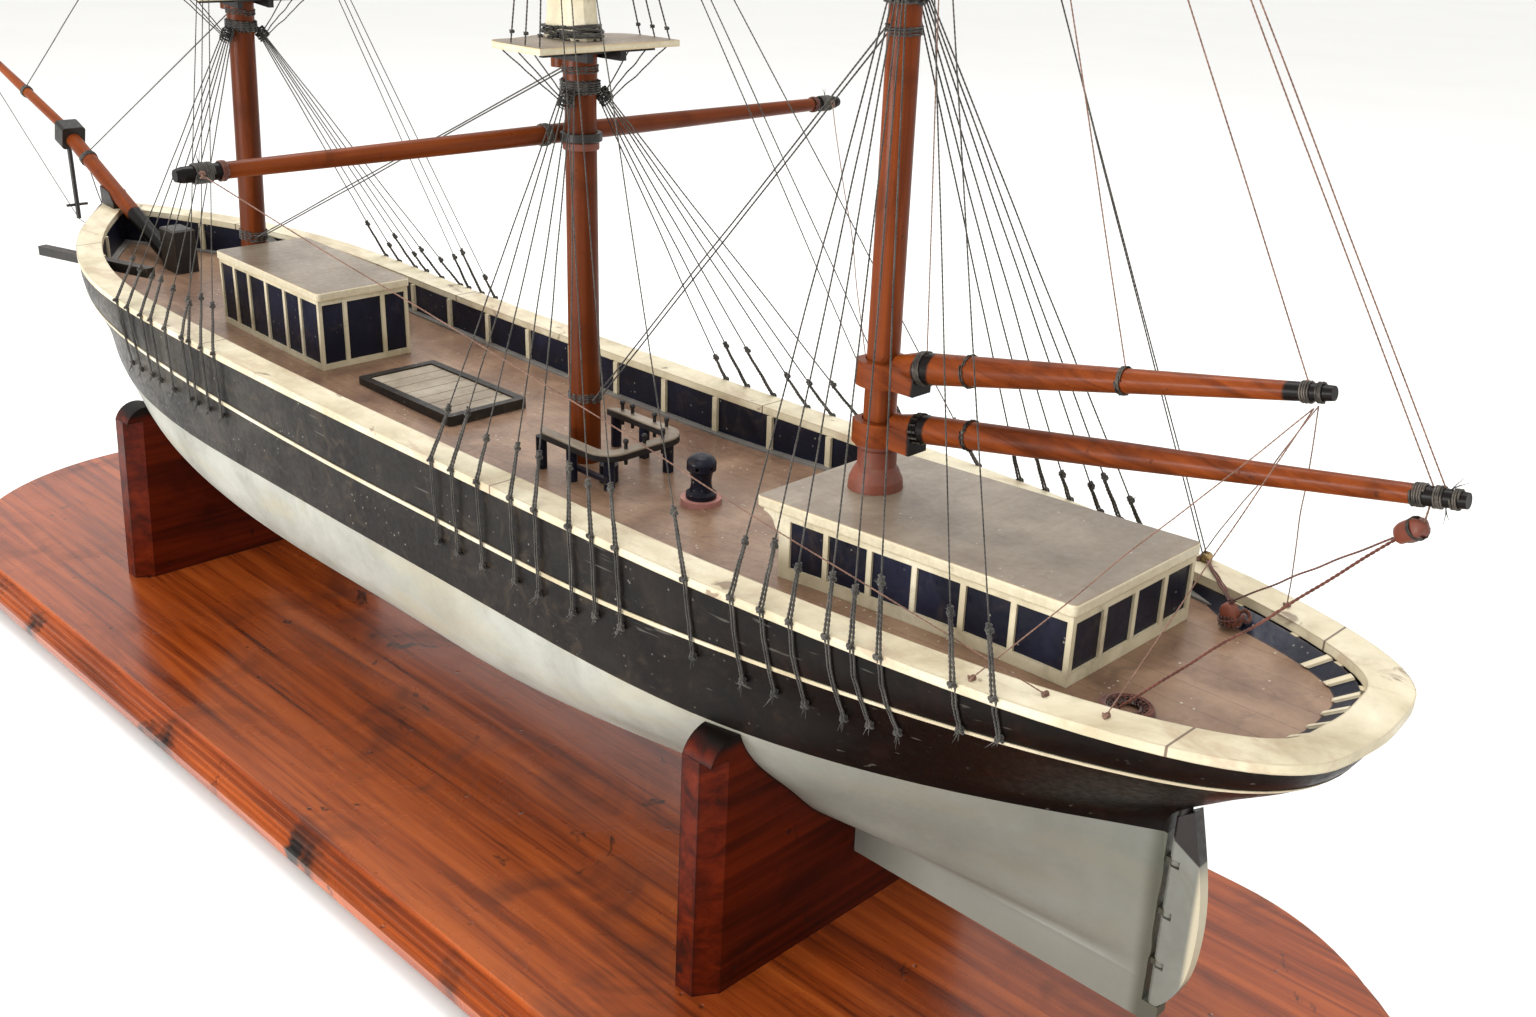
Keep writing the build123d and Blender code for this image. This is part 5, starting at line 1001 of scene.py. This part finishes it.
def block_body(batch, start, end, width, depth):
    """A long wooden block, full in the middle and rounded at its ends, in millimetres."""
    start, end = np.asarray(start, float), np.asarray(end, float)
    d, a, b = across_of(end - start)
    rings = []
    for i in range(BLOCK_RINGS + 1):
        t = i / BLOCK_RINGS
        full = max(BLOCK_END, (1 - abs(2 * t - 1) ** 3.2) ** 0.5)
        ring = []
        for j in range(BLOCK_SIDES):
            angle = 2 * math.pi * j / BLOCK_SIDES
            u, v = math.cos(angle), math.sin(angle)
            square = (abs(u) ** 3.5 + abs(v) ** 3.5) ** (-1 / 3.5)
            groove = 0.82 if abs(v) > 0.93 else 1.0
            ring.append((start + (end - start) * t + a * u * square * width / 2 * full
                         + b * v * square * groove * depth / 2 * full) * MM)
        rings.append(ring)
    batch.shell(rings)


STERN_DECK = 162.36
BLOCK_X = -375.6
BLOCK_TOP = np.array((BLOCK_X, 0.0, 225.4))
DECK_BLOCK = np.array((-314.0, -34.5, STERN_DECK + 9.0))
SHEET_RUN = unit(DECK_BLOCK - BLOCK_TOP)
BLOCK_LENGTH = 11.0
LIFT_HEAD = (-208.2, 1.0, 505.5)
BOOM_END_Z = 232.8
MIZZEN_X = MASTS["mizzen"]
YARD_X = -47.8
YARD_Z = 273.8
RAIL_Z = 169.9
BRACES = {
    "port": ((-51.5, 140.0, YARD_Z), (-308.0, 50.0, RAIL_Z)),
    "starboard": ((-51.5, -140.0, YARD_Z), (-200.0, -6.4, 194.0)),
}
COIL_AT = (-321.0, 30.0)
COIL_TURN = 22
COIL_LAYER = 4 * COIL_TURN


def boom_gear():
    """The boom's topping lifts, wire wraps and hanging block, which swing with it."""
    ropes, wood, wire = Batch(), Batch(), Batch()
    line(ropes, [tuple(BLOCK_TOP + SHEET_RUN), (BLOCK_X, 0.0, BOOM_END_Z - 2.0)], 0.3, seed=1)
    line(ropes, [(BLOCK_X, 0.0, BOOM_END_Z + 2.2), LIFT_HEAD], 0.24, wobble=0.2, seed=2)
    other_head = (LIFT_HEAD[0], -1.0, LIFT_HEAD[2])
    line(ropes, [(-378.6, 0.0, BOOM_END_Z + 2.4), other_head], 0.24, wobble=0.2, seed=3)
    winding(ropes, (MIZZEN_X, 0.0, LIFT_HEAD[2]), (0, 0, 1), 3.3, 2.6, 4, 0.4, 4)
    ropes.piece("boom_lift_lines", BROWN_THREAD, "brown_thread", body="boom", replaced=["boom_tackle"])
    block_body(wood, BLOCK_TOP, BLOCK_TOP + SHEET_RUN * BLOCK_LENGTH, 5.2, 5.6)
    wood.piece("boom_sheet_block", RED_PAINT, "red_paint", body="boom")
    along = np.array(BOOM_LINE[1]) - np.array(BOOM_LINE[0])
    spots = ((0.935, 2.75, 3.0, 5), (0.962, 2.6, 2.2, 4), (0.985, 2.4, 1.8, 3), (0.17, 4.6, 1.6, 3))
    spots += ((0.06, 4.75, 3.0, 5),)
    for i, (share, radius, length, turns) in enumerate(spots):
        winding(wire, between(*BOOM_LINE, share), along, radius, length, turns, 0.34, 20 + i)
    winding(wire, BLOCK_TOP + SHEET_RUN * 3.2, SHEET_RUN, 2.9, 1.2, 2, 0.3, 31)
    winding(wire, (MIZZEN_X, 0.0, 202.6), (0, 0, 1), 6.15, 1.4, 2, 0.36, 32, uneven=0.3)
    end = between(*BOOM_LINE, 0.975)
    tuft(wire, (end[0], end[1], end[2] + 2.3), (-0.4, 0.1, 1), 4.5, 0.2, 3, 33)
    tuft(wire, (end[0], end[1] + 1.5, end[2] - 1.8), (-0.6, 0.5, -1), 4.0, 0.2, 2, 34)
    wire.piece("boom_wire_wraps", WIRE, "black_trim", body="boom")


def gaff_gear():
    """The gaff's halliards and wraps, which swing with it."""
    ropes, wire = Batch(), Batch()
    head = (-208.4, 0.0, 495.5)
    for i, foot in enumerate(((-341.0, 0.0, 252.2), (-290.0, 0.0, 243.0), (-222.0, 0.0, 231.0))):
        line(ropes, [foot, head], 0.24, wobble=0.2, seed=40 + i)
    winding(ropes, (MIZZEN_X, 0.0, head[2]), (0, 0, 1), 3.5, 2.6, 4, 0.4, 44)
    ropes.piece("gaff_halliard_lines", BROWN_THREAD, "brown_thread", body="gaff", replaced=["gaff_halliards"])
    along = np.array(GAFF_LINE[1]) - np.array(GAFF_LINE[0])
    spots = ((0.95, 2.65, 2.6, 4), (0.975, 2.5, 1.6, 3), (0.575, 3.85, 1.6, 3), (0.077, 5.2, 2.4, 4))
    spots += ((0.2, 4.95, 1.4, 2),)
    for i, (share, radius, length, turns) in enumerate(spots):
        winding(wire, between(*GAFF_LINE, share), along, radius, length, turns, 0.32, 50 + i)
    winding(wire, (MIZZEN_X, 0.0, 222.0), (0, 0, 1), 6.1, 1.4, 2, 0.36, 58, uneven=0.3)
    wire.piece("gaff_wire_wraps", WIRE, "black_trim", body="gaff")


def yard_gear():
    """Thread wraps at the main yard's ends and middle."""
    dark, red = Batch(), Batch()
    for side in (-1, 1):
        winding(dark, (YARD_X, side * 138.5, YARD_Z), (0, 1, 0), 2.95, 6.0, 9, 0.36, 60 + side)
        winding(red, (YARD_X, side * 132.0, YARD_Z), (0, 1, 0), 3.0, 2.0, 4, 0.3, 62 + side)
        winding(dark, (YARD_X, side * 9.0, YARD_Z), (0, 1, 0), 3.75, 3.0, 5, 0.36, 64 + side)
        tuft(dark, (YARD_X, side * 139.0, YARD_Z + 2.7), (0.2, 0.3 * side, 1), 3.5, 0.22, 2, 66 + side)
    dark.piece("yard_thread_wraps", DARK_THREAD, "black_thread", body="main_yard")
    red.piece("yard_red_wraps", RED_THREAD, "brown_thread", body="main_yard")


def free_lines():
    """Sheet, vangs and braces that run between a swinging spar and the ship."""
    sheet = Batch()
    start = BLOCK_TOP + SHEET_RUN * (BLOCK_LENGTH + 0.1)
    line(sheet, [tuple(start), tuple(DECK_BLOCK)], 0.34, wobble=0.3, seed=70)
    tail = [tuple(start + np.array((-0.4, 1.0, -0.2))), (-321.0, 34.6, STERN_DECK + 3.2)]
    line(sheet, tail, 0.45, wobble=0.4, seed=71)
    knot(sheet, tuple(DECK_BLOCK), (0, 0, 1), 0.9, 0.3, 72)
    sheet.piece("boom_sheet_lines", RED_THREAD, "brown_thread", replaced=["boom_sheet"],
                blended=("boom", SHIP, (-0.3756, 0, 0.218), (-0.3756, 0, 0.172)))
    vangs = Batch()
    for side in (-1, 1):
        for i, (x, y) in enumerate(((-290.0, 57.5), (-325.0, 47.5))):
            foot = (x, side * y, RAIL_Z)
            line(vangs, [(-344.0, side * 1.2, 246.6), foot], 0.22, wobble=0.3, seed=80 + 2 * i + side)
            knot(vangs, foot, (0, 0, 1), 1.1, 0.34, 84 + 2 * i + side)
    vangs.piece("gaff_vang_lines", BROWN_THREAD, "brown_thread", replaced=["gaff_vangs"],
                blended=("gaff", SHIP, (-0.344, 0, 0.246), (-0.344, 0, 0.171)))
    for order, (side, (top, foot)) in enumerate(BRACES.items()):
        brace = Batch()
        line(brace, [top, foot], 0.24, wobble=0.5, seed=90 + order)
        knot(brace, top, (0, 1, 0), 1.2, 0.36, 92 + order)
        knot(brace, foot, (0, 0, 1), 1.1, 0.34, 94 + order)
        bend = ("main_yard", SHIP, tuple(v * MM for v in top), tuple(v * MM for v in foot))
        replaced = ["yard_braces"] if order == 0 else []
        brace.piece("yard_brace_" + side, BROWN_THREAD, "brown_thread", replaced=replaced, blended=bend)


def deck_tackle():
    """The block lashed to the starboard side of the stern, its bead on the rail, and the coil to port."""
    batch = Batch()
    foot, head = DECK_BLOCK - np.array((1.5, 0, 8.4)), DECK_BLOCK - np.array((-1.0, 0, 0.6))
    block_body(batch, foot, head, 4.4, 5.4)
    batch.piece("deck_block", RED_PAINT, "red_paint", replaced=["stern_tackle"])
    rope_work = Batch()
    waist = tuple(DECK_BLOCK - np.array((0.3, 0, 6.0)))
    winding(rope_work, waist, (0.2, 0, 1), 2.9, 3.0, 4, 0.5, 100, uneven=0.4)
    chance = random.Random(101)
    points = []
    for i in range(14 * COIL_TURN + 1):
        angle = 2 * math.pi * i / COIL_TURN
        level = (i / COIL_TURN) % 4
        layer = i // COIL_LAYER
        r = 3.1 + 1.05 * (level if layer % 2 == 0 else 4 - level) + 0.2 * math.sin(angle * 0.31)
        height = STERN_DECK + 0.6 + 0.42 * layer + 0.1 * math.sin(angle * 0.77)
        points.append((COIL_AT[0] + r * math.cos(angle), COIL_AT[1] + r * math.sin(angle), height))
    sweep(rope_work, np.array(points) * MM, 0.5 * MM, pitch=0.0022, sides=6)
    for i in range(3):
        near = (-313.0 - i, -36.0 - 0.8 * i, STERN_DECK + 7.5 - i)
        line(rope_work, [near, (BEAD[0] - 0.5 * i, BEAD[1] + 0.8, BEAD[2])], 0.36, wobble=0.3, seed=102 + i)
    lump = tuple(DECK_BLOCK - np.array((2.5, 2.5, 5.5)))
    knot(rope_work, lump, (0.3, 0.2, 1), 3.0, 0.7, chance.randint(1, 99))
    rope_work.piece("deck_rope_work", RED_THREAD, "brown_thread")
    copper = Batch()
    half = np.array((1.9, 0, 0))
    block_body(copper, np.array(BEAD) - half, np.array(BEAD) + half, 3.6, 3.6)
    winding(copper, BEAD, (1, 0, 0), 1.75, 1.6, 3, 0.3, 110)
    copper.piece("rail_bead", BRASS, "brass")


STERN_MIDDLE = Vector((-0.290, 0.0, 0.0))
SLOPE_TOP = 166.3
SLOPE_FOOT = 162.2
SLOPE_REACH = 8.0
SLOPE_LEDGE = 1.4
SLOPE_END = 1.5
STERN_POSTS = (-0.52, -0.38, -0.25, -0.12, 0.02, 0.15, 0.28, 0.41, 0.54)
POST_HALF_ANGLE = 0.014
POST_HEIGHT = 0.8
LINING = surface("bulwark_lining")


def stern_face(angle):
    """The lining's inner face at the stern in one direction from the middle, and that direction."""
    way = Vector((-math.cos(angle), math.sin(angle), 0.0))
    hit = LINING.ray_cast(STERN_MIDDLE + Vector((0, 0, 164.6 * MM)), way)
    return np.array((hit[0].x, hit[0].y)) / MM, np.array((way.x, way.y))


def slope_point(angle, down, raised=0.0):
    """A point on the sloping band inside the stern: down is 0 under the rail and 1 at the deck."""
    face, way = stern_face(angle)
    fade = min(1.0, max(0.0, (SLOPE_END - abs(angle)) / 0.45))
    inward = 0.15 + (SLOPE_LEDGE + (SLOPE_REACH - SLOPE_LEDGE) * down) * fade + raised * 0.5
    height = SLOPE_TOP + (SLOPE_FOOT - SLOPE_TOP) * down + raised * 0.85
    x, y = face - way * inward
    return np.array((x, y, height)) * MM


def slope_panel(batch, angles, raised):
    """A strip of the band between two sets of angles, closed behind so that it is a solid."""
    rings = []
    drop = np.array((0, 0, (SLOPE_TOP - SLOPE_FOOT + 0.6) * MM))
    for angle in angles:
        front = [slope_point(angle, i / 6, raised) for i in range(7)]
        back = [slope_point(angle, 0.0, -0.3) - drop * down for down in (1, 0)]
        rings.append(front + back)
    batch.shell(rings)


def stern_slope():
    """The black band that slopes from the rail to the deck round the stern, with cream posts on it."""
    band, posts = Batch(), Batch()
    slope_panel(band, np.linspace(-SLOPE_END, SLOPE_END, 61), 0.0)
    band.piece("stern_slope", NAVY_PAINT, "navy_paint", smooth=False)
    for middle in STERN_POSTS:
        slope_panel(posts, np.linspace(middle - POST_HALF_ANGLE, middle + POST_HALF_ANGLE, 5), POST_HEIGHT)
    posts.piece("stern_posts", POST_PAINT, "cream_paint", smooth=False)


boom_gear()
gaff_gear()
yard_gear()
free_lines()
deck_tackle()
stern_slope()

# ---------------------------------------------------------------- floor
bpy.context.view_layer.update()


def floor():
    """A plain pale floor under everything."""
    half = 14.0
    mesh = bpy.data.meshes.new("floor")
    corners = [(-half, -half, 0), (half, -half, 0), (half, half, 0), (-half, half, 0)]
    mesh.from_pydata(corners, [], [(0, 1, 2, 3)])
    g = Graph("floor_paper")
    cloud = g.noise(g.place, 3.0, 3.0)
    colour = g.ramp(cloud, (0.3, (0.93, 0.93, 0.92)), (0.7, (0.95, 0.95, 0.94)))
    mesh.materials.append(g.finish(colour, 0.9))
    place_object("floor", mesh)


floor()
